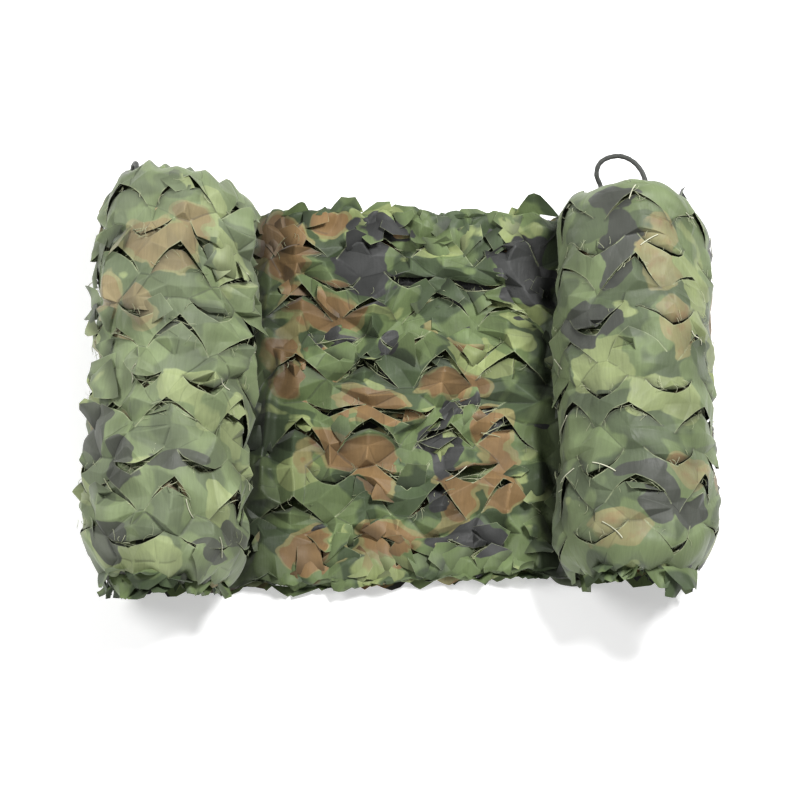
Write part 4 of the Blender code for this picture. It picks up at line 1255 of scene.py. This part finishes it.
def add_tubes(name, lines, sides, material):
    """One piece of closed tubes, each a line of points and its radius."""
    points = []
    faces = []
    for line, radius in lines:
        corners, rings = tube(line, sides, lambda angle, distance, radius=radius: radius)
        faces += [tuple(index + len(points) for index in ring) for ring in rings]
        points += corners
    add_piece(name, points, faces, material)


def lie_on(tree, cloth, route):
    """Points of a string that lies on the outer cloth over a flat route."""
    above = cloth.place(route[:, 0], route[:, 1], np.full(len(route), LOOK_FROM))
    below = cloth.place(route[:, 0], route[:, 1], np.full(len(route), LOOK_TO))
    points = []
    for start, end in zip(above, below):
        inward = (Vector(end) - Vector(start)).normalized()
        hit = tree.ray_cast(Vector(start), inward, LOOK_REACH)[0]
        if hit:
            points.append(hit - inward * CROSSING_LIFT)
    return points


def smooth_line(line):
    """The line with its small jumps averaged away."""
    for _ in range(3):
        inner = [(before + here * 2 + after) / 4
                 for before, here, after in zip(line, line[1:], line[2:])]
        line = [line[0]] + inner + [line[-1]]
    return line


def add_crossing_strings(cloth, item, material):
    """Pale strings of the mesh that cross over a slit, now and then, mostly on the rolls."""
    chooser = random.Random(SEEDS["crossing"])
    tree = BVHTree.FromPolygons([vertex.co for vertex in item.data.vertices],
                                [tuple(face.vertices) for face in item.data.polygons])
    lines = []
    for leaf in cloth.leaves:
        if chooser.random() > CROSSING_SHARE[cloth.section.region(leaf.tip.x)]:
            continue
        end = chooser.choice((leaf.first, leaf.last))
        middle = end.lerp(leaf.tip, chooser.uniform(*CROSSING_PLACE))
        heading = chooser.uniform(-CROSSING_TURN, CROSSING_TURN)
        heading += chooser.choice((0.0, math.pi / 2))
        reach = Vector((math.cos(heading), math.sin(heading))) * chooser.uniform(*CROSSING_REACH)
        bow = Vector((-reach.y, reach.x)) * chooser.uniform(-CROSSING_BOW, CROSSING_BOW)
        route = np.array([middle + reach * part + bow * (1.0 - part * part)
                          for part in spread(-1.0, 1.0, CROSSING_POINTS)])
        line = lie_on(tree, cloth, route + cloth.drift(route))
        if len(line) >= CROSSING_LEAST:
            lines.append((smooth_line(line), CROSSING_RADIUS))
    add_tubes("crossing_strings", lines, CROSSING_SIDES, material)


def slit_string(leaf, chooser):
    """A string that crosses an open slit: its places and heights."""
    a = leaf.first.lerp(leaf.tip, chooser.uniform(*STRING_PLACE))
    b = leaf.last.lerp(leaf.tip, chooser.uniform(*STRING_PLACE))
    along = (b - a).normalized() if (b - a).length > SHORTEST_RUN else Vector((1.0, 0.0))
    past = along * STRING_PAST
    sag = Vector([chooser.uniform(-STRING_SAG, STRING_SAG) for _ in range(2)])
    line = []
    for part in spread(0.0, 1.0, STRING_POINTS):
        hang = math.sin(math.pi * part)
        place = (a - past).lerp(b + past, part) + sag * hang
        line.append((place.x, place.y, -STRING_DEPTH - STRING_HANG * hang))
    return line


def frayed_thread(leaf, chooser):
    """A thread frayed out of a slit's lip: its places and heights."""
    from_first = chooser.random() < 0.5
    toward = chooser.uniform(*THREAD_PLACE)
    place = (leaf.first if from_first else leaf.last).lerp(leaf.tip, toward)
    back = (leaf.hinge - leaf.tip).normalized()
    ahead = turned(back, chooser.gauss(0.0, THREAD_TURN))
    bend = chooser.uniform(-THREAD_BEND, THREAD_BEND)
    reach = chooser.uniform(*THREAD_REACH)
    end_rise = leaf.rises[0 if from_first else 2]
    rise = end_rise + (leaf.rises[1] - end_rise) * toward + THREAD_LIFT
    climb = chooser.uniform(*THREAD_CLIMB)
    line = []
    for part in spread(0.0, 1.0, THREAD_POINTS):
        line.append((place.x, place.y, rise + climb * math.sin(part * THREAD_SWING)))
        place = place + turned(ahead, bend * part) * reach / THREAD_POINTS
    return line


def add_strings(cloth, material):
    """Strings that cross the open slits, and threads frayed out of the slits' lips."""
    chooser = random.Random(SEEDS["strings"])
    lines = []
    for leaf in cloth.leaves:
        for _ in range(chooser.randint(*STRINGS_PER_SLIT)):
            lines.append((slit_string(leaf, chooser), chooser.uniform(*STRING_RADIUS)))
        for _ in range(chooser.randint(*THREADS_PER_SLIT)):
            lines.append((frayed_thread(leaf, chooser), chooser.uniform(*THREAD_RADIUS)))
    flat = np.array([point for line, _ in lines for point in line])
    moved = flat[:, :2] + cloth.drift(flat[:, :2])
    height = flat[:, 2] * cloth.steadiness(flat[:, 0])
    placed = [Vector(point) for point in cloth.place(moved[:, 0], moved[:, 1], height)]
    routes = []
    start = 0
    for line, radius in lines:
        routes.append((placed[start:start + len(line)], radius))
        start += len(line)
    add_tubes("string_mesh", routes, STRING_SIDES, material)


# ---- camouflage: soft fields that the material turns into patches ----
# Patches of the outer cloth where it faces up: place u and t, reach along u and t.
PATCHES = {
    "brown": (
        (0.203, 0.341, 0.048, 0.034), (0.188, 0.290, 0.024, 0.024), (0.150, 0.315, 0.028, 0.036),
        (0.236, 0.381, 0.024, 0.013), (0.456, 0.397, 0.032, 0.060), (0.500, 0.440, 0.024, 0.020),
        (0.503, 0.323, 0.027, 0.024), (0.456, 0.250, 0.027, 0.052), (0.552, 0.205, 0.044, 0.026),
        (0.535, 0.153, 0.055, 0.028), (0.563, 0.108, 0.022, 0.028), (0.638, 0.226, 0.048, 0.018),
        (0.694, 0.173, 0.028, 0.028), (0.703, 0.120, 0.030, 0.042), (0.656, 0.091, 0.028, 0.038),
        (0.492, 0.038, 0.044, 0.024), (0.580, 0.044, 0.045, 0.025), (0.980, 0.350, 0.030, 0.056),
        (0.995, 0.275, 0.026, 0.034), (0.936, 0.045, 0.034, 0.020), (1.019, 0.109, 0.030, 0.015),
    ),
    "slate": (
        (0.125, 0.150, 0.030, 0.022), (0.178, 0.122, 0.025, 0.029), (0.229, 0.119, 0.032, 0.014),
        (0.310, 0.059, 0.025, 0.018), (0.161, 0.040, 0.036, 0.026), (0.285, 0.030, 0.032, 0.013),
        (0.537, 0.389, 0.036, 0.046), (0.563, 0.426, 0.032, 0.018), (0.574, 0.285, 0.013, 0.022),
        (0.731, 0.385, 0.034, 0.048), (0.653, 0.205, 0.036, 0.014), (0.633, 0.144, 0.025, 0.048),
        (0.667, 0.044, 0.040, 0.019), (0.931, 0.367, 0.026, 0.068), (0.906, 0.282, 0.042, 0.029),
        (0.954, 0.112, 0.028, 0.015), (0.972, 0.080, 0.026, 0.030), (1.019, 0.069, 0.032, 0.017),
    ),
    "light": (
        (0.314, 0.160, 0.022, 0.027), (0.285, 0.083, 0.020, 0.020), (0.246, 0.197, 0.032, 0.018),
        (0.290, 0.350, 0.024, 0.028), (0.203, 0.016, 0.042, 0.014), (0.672, 0.271, 0.036, 0.026),
        (0.726, 0.326, 0.032, 0.015), (0.480, 0.134, 0.026, 0.015), (0.909, 0.229, 0.036, 0.036),
        (0.967, 0.190, 0.036, 0.018), (1.026, 0.320, 0.032, 0.052),
    ),
}
PATCH_WAVES = ((0.060, 0.55), (0.030, 0.50), (0.014, 0.20))
WAVE_STRETCH = 1.25  # the print is a little finer along t
PLAIN_GAIN = 1.3  # the print where no patch is listed
PLAIN_STRETCH = 1.3
PLAIN_SIZE = 0.075
PLAIN_LAYER = 31.0
PLAIN_SINK = 0.30
PLAIN_WAVES = 0.7
LIGHT_SINK = 0.25  # light tones show between the patches too, but fewer
PLACED_SPAN = (0.105, 1.075)
FAINT_BROWN_FROM = 0.80  # the right roll's brown is worn down to khaki
FAINT_BROWN = 0.150


def tone_field(tone, flat, layer, placed):
    """Above zero where this tone is printed."""
    u, t = flat[:, 0], flat[:, 1]
    waves = np.zeros(len(u))
    for number, (size, height) in enumerate(PATCH_WAVES):
        waves += height * noise_field(u, t * WAVE_STRETCH, size, layer + number)
    base = noise_field(u, t * PLAIN_STRETCH, PLAIN_SIZE, layer + PLAIN_LAYER)
    plain = PLAIN_GAIN * base - PLAIN_SINK + PLAIN_WAVES * waves
    if not placed:
        return plain
    value = np.full(len(u), -1.0)
    for at_u, at_t, reach_u, reach_t in PATCHES[tone]:
        away = np.hypot((u - at_u) / reach_u, (t - at_t) / reach_t)
        value = np.maximum(value, 1.0 - away)
    value += waves
    if tone == "brown":
        value = np.where(u > FAINT_BROWN_FROM, np.minimum(value, FAINT_BROWN), value)
    if tone == "light":
        return np.maximum(value, plain - LIGHT_SINK)
    outside = (u < PLACED_SPAN[0]) | (u > PLACED_SPAN[1])
    return np.where(outside, np.maximum(value, plain), value)


TONES = {"brown": 11.3, "slate": 23.9, "light": 37.1}


def add_mark(mesh, name, values):
    mark = mesh.attributes.new(name, "FLOAT", "POINT")
    mark.data.foreach_set("value", values.astype(np.float32))


def finish_cloth(name, points, faces, flat, material, shift=0.0, marks=()):
    """A cloth's object; its marks are lips, folds, painted shade, painted sheen and its print's own
    bias.

    Only a print that isn't shifted has the patches that are listed.
    """
    points = np.array(points)
    flat = np.array(flat)
    count = len(points)
    plain = {mark: np.zeros(count) for mark in ("lip", "fold", "painted_sheen")}
    marks = {**plain, "painted_shade": np.ones(count), "bias": np.zeros((count, 3)), **dict(marks)}
    item = add_piece(name, points.tolist(), faces, material)
    mesh = item.data
    corners = np.zeros(len(mesh.loops), np.int32)
    mesh.loops.foreach_get("vertex_index", corners)
    layer = mesh.uv_layers.new(name="flat")
    layer.data.foreach_set("uv", (flat[corners] + shift).astype(np.float32).ravel())
    for number, (tone, field) in enumerate(TONES.items()):
        value = tone_field(tone, flat, field + shift, shift == 0.0)
        add_mark(mesh, tone, value + marks["bias"][:, number])
    for mark in ("lip", "fold", "painted_shade", "painted_sheen"):
        add_mark(mesh, mark, marks[mark])
    return item


# ---- materials ----
def new_material(name):
    material = bpy.data.materials.new(name)
    material.use_nodes = True
    tree = material.node_tree
    return material, tree, tree.nodes["Principled BSDF"]


def mix_tone(tree, mask, below, above):
    mix = tree.nodes.new("ShaderNodeMix")
    mix.data_type = "RGBA"
    tree.links.new(mask, mix.inputs["Factor"])
    for socket, value in (("A", below), ("B", above)):
        target = [entry for entry in mix.inputs if entry.name == socket and entry.type == "RGBA"][0]
        if isinstance(value, tuple):
            target.default_value = (*value, 1.0)
        else:
            tree.links.new(value, target)
    return [entry for entry in mix.outputs if entry.type == "RGBA"][0]


def map_range(tree, value, low, high, to_low=0.0, to_high=1.0):
    node = tree.nodes.new("ShaderNodeMapRange")
    tree.links.new(value, node.inputs["Value"])
    ends = {"From Min": low, "From Max": high, "To Min": to_low, "To Max": to_high}
    for socket, end in ends.items():
        node.inputs[socket].default_value = end
    return node.outputs["Result"]


def math_node(tree, operation, first, second):
    node = tree.nodes.new("ShaderNodeMath")
    node.operation = operation
    for socket, value in zip(node.inputs, (first, second)):
        if isinstance(value, float):
            socket.default_value = value
        else:
            tree.links.new(value, socket)
    return node.outputs["Value"]


def noise_node(tree, vector, scale, detail, stretch=None):
    if stretch:
        mapping = tree.nodes.new("ShaderNodeMapping")
        mapping.inputs["Scale"].default_value = stretch
        tree.links.new(vector, mapping.inputs["Vector"])
        vector = mapping.outputs["Vector"]
    node = tree.nodes.new("ShaderNodeTexNoise")
    node.inputs["Scale"].default_value = scale
    node.inputs["Detail"].default_value = detail
    tree.links.new(vector, node.inputs["Vector"])
    return node.outputs["Fac"]


def attribute_value(tree, name):
    node = tree.nodes.new("ShaderNodeAttribute")
    node.attribute_name = name
    return node.outputs["Fac"]


def add_bump(tree, shader, height, strength, distance):
    bump = tree.nodes.new("ShaderNodeBump")
    bump.inputs["Strength"].default_value = strength
    bump.inputs["Distance"].default_value = distance
    tree.links.new(height, bump.inputs["Height"])
    tree.links.new(bump.outputs["Normal"], shader.inputs["Normal"])


# The pale tone of the painted sheen on the rolls.
PAINTED_SHEEN_TONE = (0.300, 0.345, 0.210)
FRAYED = (0.330, 0.365, 0.215)
GREEN = (0.106, 0.146, 0.056)
DEEP_GREEN = (0.046, 0.068, 0.029)
LIGHT_GREEN = (0.205, 0.243, 0.096)
KHAKI = (0.196, 0.176, 0.074)
BROWN = (0.190, 0.116, 0.048)
SLATE = (0.031, 0.032, 0.031)
# The cloth's noise: scale, detail, and how it is stretched.
WAVES = {
    "wiggle": (60.0, 2.0), "blotches": (15.0, 2.0), "halo": (22.0, 1.0), "frayed": (130.0, 3.0),
    "ribs": (420.0, 2.0, (1.0, 0.12, 1.0)), "wear": (38.0, 5.0), "cast": (24.0, 1.0),
    "crumple": (75.0, 4.0),
}
# The cloth's masks: the value below which and above which they are even, and those two ends.
RAMPS = {
    "wiggle": (0.0, 1.0, -0.10, 0.10), "deep_green": (0.50, 0.53), "light": (-0.03, 0.03),
    "halo": (0.35, 0.65, -0.20, 0.08), "khaki": (-0.08, -0.02), "brown": (0.14, 0.20),
    "slate": (0.10, 0.15), "frayed": (0.40, 0.62, 0.25, 0.85), "lip": (0.66, 0.94),
    "weave": (0.7, 1.3, 0.90, 1.10), "cast": (0.3, 0.7, 0.78, 1.22),
    # The next two paint a highlight on ridges and shade in folds.
    "ridge_painted_highlight": (0.25, 0.80, 1.0, 1.10), "fold_painted_shade": (-0.75, -0.30, 0.60, 1.0),
    "roughness": (0.3, 0.7, 0.50, 0.68),
}
SLATE_PAINTED_SHEEN = 0.5  # slate takes half as much of the painted sheen as the other tones
CRUMPLE_BUMP = 3.0
FOLD_BUMP = 1.2


def cloth_material(name, painted_light_gain):
    """The print and its frayed lips, with painted sheen, highlights and shade; the second argument
    is painted light that brightens all of it.
    """
    material, tree, shader = new_material(name)
    uv = tree.nodes.new("ShaderNodeUVMap")
    uv.uv_map = "flat"

    def waves(layer):
        return noise_node(tree, uv.outputs["UV"], *WAVES[layer])

    def ramp(value, mask):
        return map_range(tree, value, *RAMPS[mask])

    wiggle = ramp(waves("wiggle"), "wiggle")
    fields = {tone: math_node(tree, "ADD", attribute_value(tree, tone), wiggle) for tone in TONES}
    colour = mix_tone(tree, ramp(waves("blotches"), "deep_green"), GREEN, DEEP_GREEN)
    colour = mix_tone(tree, ramp(fields["light"], "light"), colour, LIGHT_GREEN)
    halo = math_node(tree, "ADD", fields["brown"], ramp(waves("halo"), "halo"))
    colour = mix_tone(tree, ramp(halo, "khaki"), colour, KHAKI)
    colour = mix_tone(tree, ramp(fields["brown"], "brown"), colour, BROWN)
    # Painted sheen: mixed towards a pale tone on the rolls, half as much on slate.
    painted_sheen = attribute_value(tree, "painted_sheen")
    colour = mix_tone(tree, painted_sheen, colour, PAINTED_SHEEN_TONE)
    slate = mix_tone(tree, math_node(tree, "MULTIPLY", painted_sheen, SLATE_PAINTED_SHEEN), SLATE, PAINTED_SHEEN_TONE)
    colour = mix_tone(tree, ramp(fields["slate"], "slate"), colour, slate)
    frayed = math_node(tree, "MULTIPLY", ramp(waves("frayed"), "frayed"),
                       ramp(attribute_value(tree, "lip"), "lip"))
    colour = mix_tone(tree, frayed, colour, FRAYED)
    ribs = waves("ribs")
    wear = waves("wear")
    fold = attribute_value(tree, "fold")
    shade = ramp(math_node(tree, "ADD", ribs, wear), "weave")
    # Painted highlight on ridges, painted shade in folds, painted shade from the cloth's mark, and
    # painted light for the sheets deep below.
    for factor in (ramp(waves("cast"), "cast"), ramp(fold, "ridge_painted_highlight"),
                   ramp(fold, "fold_painted_shade"), attribute_value(tree, "painted_shade"), painted_light_gain):
        shade = math_node(tree, "MULTIPLY", shade, factor)
    scale = tree.nodes.new("ShaderNodeVectorMath")
    scale.operation = "SCALE"
    tree.links.new(colour, scale.inputs[0])
    tree.links.new(shade, scale.inputs["Scale"])
    tree.links.new(scale.outputs["Vector"], shader.inputs["Base Color"])
    tree.links.new(ramp(wear, "roughness"), shader.inputs["Roughness"])
    shader.inputs["Specular IOR Level"].default_value = 0.35
    shader.inputs["Sheen Weight"].default_value = 0.12
    shader.inputs["Sheen Roughness"].default_value = 0.5
    relief = math_node(tree, "MULTIPLY", waves("crumple"), CRUMPLE_BUMP)
    relief = math_node(tree, "ADD", relief, ribs)
    relief = math_node(tree, "ADD", relief, math_node(tree, "MULTIPLY", fold, FOLD_BUMP))
    add_bump(tree, shader, relief, strength=0.45, distance=0.0006)
    return material


# Ropes, threads and strings: dark and pale tone, scale and detail of their noise, between
# which values the tones change, roughness, and how strong their bump is.
Fibre = namedtuple("Fibre", "name dark pale scale detail span roughness bump")
ROPE = Fibre("braided_rope", (0.016, 0.018, 0.016), (0.060, 0.063, 0.056), 1400.0, 4.0,
             (0.3, 0.7), 0.62, 0.5)
THREADS = Fibre("threads", (0.13, 0.16, 0.07), (0.42, 0.44, 0.27), 30.0, 2.0,
                (0.35, 0.65), 0.6, 0.0)
STRING = Fibre("string", (0.27, 0.28, 0.18), (0.60, 0.60, 0.45), 30.0, 2.0,
               (0.35, 0.65), 0.6, 0.0)
FIBRE_BUMP_HEIGHT = 0.0003


def fibre_material(fibre):
    material, tree, shader = new_material(fibre.name)
    place = tree.nodes.new("ShaderNodeTexCoord").outputs["Object"]
    strands = noise_node(tree, place, fibre.scale, fibre.detail)
    tint = map_range(tree, strands, *fibre.span)
    colour = mix_tone(tree, tint, fibre.dark, fibre.pale)
    tree.links.new(colour, shader.inputs["Base Color"])
    shader.inputs["Roughness"].default_value = fibre.roughness
    shader.inputs["Sheen Weight"].default_value = 0.2
    if fibre.bump:
        add_bump(tree, shader, strands, fibre.bump, FIBRE_BUMP_HEIGHT)
    return material


def floor_material():
    material, _, shader = new_material("pale_floor")
    shader.inputs["Base Color"].default_value = (0.86, 0.86, 0.86, 1.0)
    shader.inputs["Roughness"].default_value = 0.9
    shader.inputs["Specular IOR Level"].default_value = 0.1
    shader.inputs["Emission Color"].default_value = (1.0, 1.0, 1.0, 1.0)
    shader.inputs["Emission Strength"].default_value = 0.35
    return material


# ---- ropes ----
RIGHT_LOOP = (
    (0.2215, 0.2250, 0.088),
    (0.2165, 0.2360, 0.094),
    (0.2190, 0.2470, 0.099),
    (0.2285, 0.2535, 0.102),
    (0.2425, 0.2545, 0.105),
    (0.2555, 0.2480, 0.107),
    (0.2645, 0.2370, 0.108),
    (0.2690, 0.2250, 0.108),
)
LEFT_LOOP = (
    (-0.3080, 0.2300, 0.0600),
    (-0.3100, 0.2390, 0.0620),
    (-0.3090, 0.2450, 0.0690),
    (-0.3060, 0.2470, 0.0770),
    (-0.3030, 0.2440, 0.0850),
    (-0.3010, 0.2370, 0.0905),
    (-0.3000, 0.2300, 0.0925),
)
ROPE_SIDES = 32
ROPE_STEP = 0.0008
BRAID_STRANDS = 4
BRAID_LAY = 0.016
BRAID_RELIEF = 0.16
INTO_NET = (0.0, -0.010, 0.0)
FIRST_SIDE = (0.13, 0.21, 1.0)  # a tube's first corners lie towards here


def smooth_route(points, step):
    points = [Vector(point) for point in points]
    padded = [points[0] * 2 - points[1]] + points + [points[-1] * 2 - points[-2]]
    line = []
    for p0, p1, p2, p3 in zip(padded, padded[1:], padded[2:], padded[3:]):
        count = max(1, round((p2 - p1).length / step))
        for number in range(count):
            s = number / count
            straight = p2 - p0
            bend = 2 * p0 - 5 * p1 + 4 * p2 - p3
            twist = 3 * p1 - p0 - 3 * p2 + p3
            line.append(p1 + (straight + (bend + twist * s) * s) * s / 2)
    return line + [points[-1]]


def tube(line, sides, radius_at):
    """Points and faces of a closed tube along a line; radius_at(angle, distance)."""
    points = []
    side = Vector(FIRST_SIDE).normalized()
    distance = 0.0
    for number, place in enumerate(line):
        before = line[max(0, number - 1)]
        after = line[min(len(line) - 1, number + 1)]
        ahead = (after - before).normalized()
        side = (side - ahead * side.dot(ahead)).normalized()
        other = ahead.cross(side)
        distance += (place - before).length
        for step in range(sides):
            angle = math.tau * step / sides
            away = side * math.cos(angle) + other * math.sin(angle)
            points.append(place + away * radius_at(angle, distance))
    faces = []
    for ring in range(len(line) - 1):
        for step in range(sides):
            a = ring * sides + step
            b = ring * sides + (step + 1) % sides
            faces.append((a, b, b + sides, a + sides))
    faces.append(tuple(reversed(range(sides))))
    faces.append(tuple(range(len(points) - sides, len(points))))
    return points, faces


def braid_radius(angle, distance):
    turned = math.tau * distance / BRAID_LAY
    one_way = math.cos(BRAID_STRANDS * angle + turned)
    other_way = math.cos(BRAID_STRANDS * angle - turned)
    return ROPE_DIAMETER / 2 * (1.0 - BRAID_RELIEF * (0.5 - 0.5 * one_way * other_way))


def add_rope(name, route, material, node):
    points = [Vector(point) for point in route]
    points = [points[0] + Vector(INTO_NET)] + points + [points[-1] + Vector(INTO_NET)]
    line = smooth_route(points, ROPE_STEP)
    rope = add_piece(name, *tube(line, ROPE_SIDES, braid_radius), material)
    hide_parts(node)


# ---- floor and light ----
FLOOR_REACH = 30.0
WORLD_STRENGTH = 0.17
# Disks of light that look at the frame's origin.
Light = namedtuple("Light", "name place size power")
LIGHTS = (
    Light("left", (-1.4, 0.3, 1.4), 1.0, 24.0),
    Light("key", (0.85, 0.75, 1.8), 0.55, 58.0),
    Light("near", (0.0, -1.7, 0.55), 0.6, 8.0),
)


def add_floor():
    mesh = bpy.data.meshes.new("floor")
    corners = [(x * FLOOR_REACH, y * FLOOR_REACH, 0.0)
               for x, y in ((-1, -1), (1, -1), (1, 1), (-1, 1))]
    mesh.from_pydata(corners, [], [(0, 1, 2, 3)])
    mesh.materials.append(floor_material())
    floor = link_object("floor", mesh)


def add_light(light):
    data = bpy.data.lights.new(light.name, "AREA")
    data.shape = "DISK"
    data.size = light.size
    data.energy = light.power
    lamp = link_object(light.name, data)
    lamp.location = light.place
    lamp.rotation_euler = Vector(light.place).to_track_quat("Z", "Y").to_euler()


def add_world():
    world = bpy.data.worlds.new("studio")
    world.use_nodes = True
    background = world.node_tree.nodes["Background"]
    background.inputs["Color"].default_value = (1.0, 1.0, 1.0, 1.0)
    background.inputs["Strength"].default_value = WORLD_STRENGTH
    bpy.context.scene.world = world
    bpy.context.scene.view_settings.view_transform = "Standard"


# ---- making everything ----
SECOND_DEPTH = 0.0098  # of the two sheets below the outer cloth
INNER_DEPTH = 0.0158


def add_cut_sheet(name, sheet, material, shift=0.0):
    flat, bent, height, faces, marks = sheet.build()
    points = sheet.cloth.place(bent[:, 0], bent[:, 1], height)
    return finish_cloth(name, points, faces, flat, material, shift, marks)


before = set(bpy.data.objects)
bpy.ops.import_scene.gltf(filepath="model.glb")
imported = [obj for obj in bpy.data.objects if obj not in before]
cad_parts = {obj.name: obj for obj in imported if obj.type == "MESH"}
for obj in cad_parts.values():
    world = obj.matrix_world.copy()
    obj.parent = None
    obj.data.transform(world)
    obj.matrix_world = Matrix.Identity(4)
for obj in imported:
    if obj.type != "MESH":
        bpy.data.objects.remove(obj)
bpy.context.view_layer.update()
add_camera()
rope_look = fibre_material(ROPE)
add_rope("corner_rope_right", RIGHT_LOOP, rope_look, "rope_loop_right")
add_rope("corner_rope_left", LEFT_LOOP, rope_look, "rope_loop_left")

cloth_look = cloth_material("camouflage_cloth_print", 1.0)
# The sheets deep below take the same print, painted lighter by a share as painted light in the
# holes.
deep_painted_light_look = cloth_material("camouflage_cloth_deep_painted_light", 1.15)
outer = Cloth(seed=41)
outer_sheet = CutSheet(outer, seed=7, fineness=7)
outer_item = add_cut_sheet("outer_cloth", outer_sheet, cloth_look)
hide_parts("net_cloth")
under = Cloth(seed=42, depth=SECOND_DEPTH, tooth_shift=0.5)
under_sheet = CutSheet(under, seed=8, fineness=4, calm_share=0.35)
under_item = add_cut_sheet("second_cloth", under_sheet, deep_painted_light_look, shift=1.7)
inner = Cloth(seed=43, depth=INNER_DEPTH, tooth_shift=0.25)
inner.leaves = []
inner_sheet = CutSheet(inner, seed=9, fineness=2, calm_share=0.3)
inner_item = add_cut_sheet("inner_cloth", inner_sheet, deep_painted_light_look, shift=2.9)
add_ground_cloth(deep_painted_light_look)
add_turns("left_roll_turns", -1, 61, cloth_look)
add_turns("right_roll_turns", 1, 62, cloth_look)
add_leaf_tips({"outer": outer, "second": under, "inner": inner}, cloth_look)
add_loose_leaves(outer, cloth_look)
add_strings(outer, fibre_material(THREADS))
add_crossing_strings(outer, outer_item, fibre_material(STRING))

add_floor()
for light in LIGHTS:
    add_light(light)
add_world()
